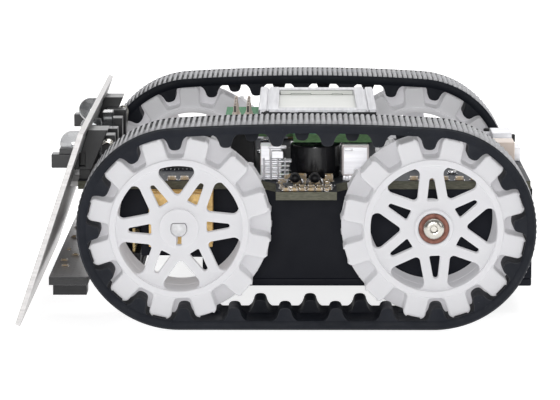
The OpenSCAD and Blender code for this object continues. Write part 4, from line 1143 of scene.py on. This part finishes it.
def make_body():
    """The body and what it carries, with rounded edges, and the small gears between the gearbox plates."""
    refine("chassis_body", black_abs, 0.3, 3)
    refine("battery_cover", black_abs, 0.3, 3)
    refine("main_board", control_mask, 0.06, 1)
    refine("battery_cells", cell_wrap, 0.3, 3)
    refine("battery_contacts", bright_steel, 0.06, 1)
    refine("usb_port", tinned, 0.14)
    refine("board_plug", cream, 0.15)
    refine("power_switch_housing", tinned, 0.14)
    refine("power_switch_slider", black_nylon, 0.12)
    refine("button_housings", tinned, 0.14)
    for node in ("button_a", "button_b", "button_c", "button_reset"):
        refine(node, black_nylon, 0.1)
    for side in ("left", "right"):
        refine("gearbox_" + side, brass, 0.07)
        refine("output_gear_" + side, brass, 0.04, 1)
        refine("motor_" + side, can_steel, 0.3, 3)
    refine("motor_caps", black_nylon, 0.1)
    refine("blade_nuts", bright_steel, 0.12)
    refine("idler_nuts", bright_steel, 0.12)
    make_screws()
    bm = bmesh.new()
    for x, z, r, teeth, back in ((2.38, 2.17, 1.5, 12, 5.2), (-2.31, -2.1, 1.5, 12, 5.2), (2.1, -1.82, 2.0, 16, 7.2)):
        add_plate(bm, [gear_outline(r, teeth)], 1.3, 0.06,
                  side_place(drive_axle.x + x, gear_face - back, axle_z + z), 2)
    add_both_sides(bm)
    add_piece("inner_gears", bm, "chassis", brass)


make_tracks()
make_sprockets()
make_axles()
make_tab_parts()
make_emitters()
make_receivers()
make_chips()
make_sounder()
make_display()
make_display_pins()
make_front()
make_body()

# ------------------------------------------------------------------ camera and light

SENSOR = 36.0
LENS = 204.8
CAMERA_AWAY = 583.7            # from the left track's outer face
CAMERA_HEIGHT = 112.3
CAMERA_SIDE = 2.08             # towards the blade from the tracks' middle
TILT_DOWN = 8.53
TURN = 0.275
WORLD_EVEN = 0.22              # light from every side, and how much more comes from behind and above
WORLD_BEHIND = 0.22
WORLD_ABOVE = 0.3
MIDDLE_HEIGHT = 0.02           # what the lights point at, and the floor's half size, in metres
FLOOR_HALF = 4


def make_camera():
    data = bpy.data.cameras.new("camera")
    data.sensor_width = SENSOR
    data.lens = LENS
    data.clip_start = 0.01
    data.clip_end = 20
    camera = bpy.data.objects.new("camera", data)
    bpy.context.scene.collection.objects.link(camera)
    camera.location = Vector((mid_x + CAMERA_SIDE, outer_y + CAMERA_AWAY, CAMERA_HEIGHT)) * MM
    camera.rotation_euler = (math.radians(90 - TILT_DOWN), 0, math.radians(180 + TURN))
    bpy.context.scene.camera = camera


def add_area(name, place, aim, size, power):
    data = bpy.data.lights.new(name, "AREA")
    data.shape = "RECTANGLE"
    data.size, data.size_y = size
    data.energy = power
    lamp = bpy.data.objects.new(name, data)
    bpy.context.scene.collection.objects.link(lamp)
    lamp.location = place
    lamp.rotation_euler = (Vector(aim) - Vector(place)).to_track_quat("-Z", "Y").to_euler()


def make_stage():
    bm = bmesh.new()
    bmesh.ops.create_grid(bm, x_segments=8, y_segments=8, size=FLOOR_HALF)
    mesh = bpy.data.meshes.new("floor")
    bm.to_mesh(mesh)
    bm.free()
    mesh.materials.append(floor_paper)
    floor = bpy.data.objects.new("floor", mesh)
    bpy.context.scene.collection.objects.link(floor)
    world = bpy.data.worlds.new("studio")
    world.use_nodes = True
    tree = world.node_tree
    coords = tree.nodes.new("ShaderNodeTexCoord")
    split = tree.nodes.new("ShaderNodeSeparateXYZ")
    tree.links.new(coords.outputs["Generated"], split.inputs[0])
    behind = tree.nodes.new("ShaderNodeMath")
    behind.operation = "MULTIPLY_ADD"
    behind.inputs[1].default_value = -WORLD_BEHIND
    behind.inputs[2].default_value = WORLD_EVEN
    tree.links.new(split.outputs["Y"], behind.inputs[0])
    above = tree.nodes.new("ShaderNodeMath")
    above.operation = "MULTIPLY_ADD"
    above.inputs[1].default_value = WORLD_ABOVE
    tree.links.new(split.outputs["Z"], above.inputs[0])
    tree.links.new(behind.outputs[0], above.inputs[2])
    tree.nodes["Background"].inputs["Color"].default_value = (1, 1, 1, 1)
    tree.links.new(above.outputs[0], tree.nodes["Background"].inputs["Strength"])
    bpy.context.scene.world = world
    bpy.context.scene.view_settings.view_transform = "Standard"
    middle = (0, 0, MIDDLE_HEIGHT)
    add_area("front", (0.06, 1.4, 0.26), middle, (0.36, 0.24), 6.0)
    add_area("front left", (-0.9, 1.0, 0.45), middle, (0.5, 0.5), 1.2)
    add_area("top", (0.0, -0.1, 0.8), middle, (0.9, 0.7), 3.0)
    add_area("behind", (0.0, -0.9, 0.32), (0, 0, 0.03), (1.8, 0.6), 3.6)


make_camera()
make_stage()
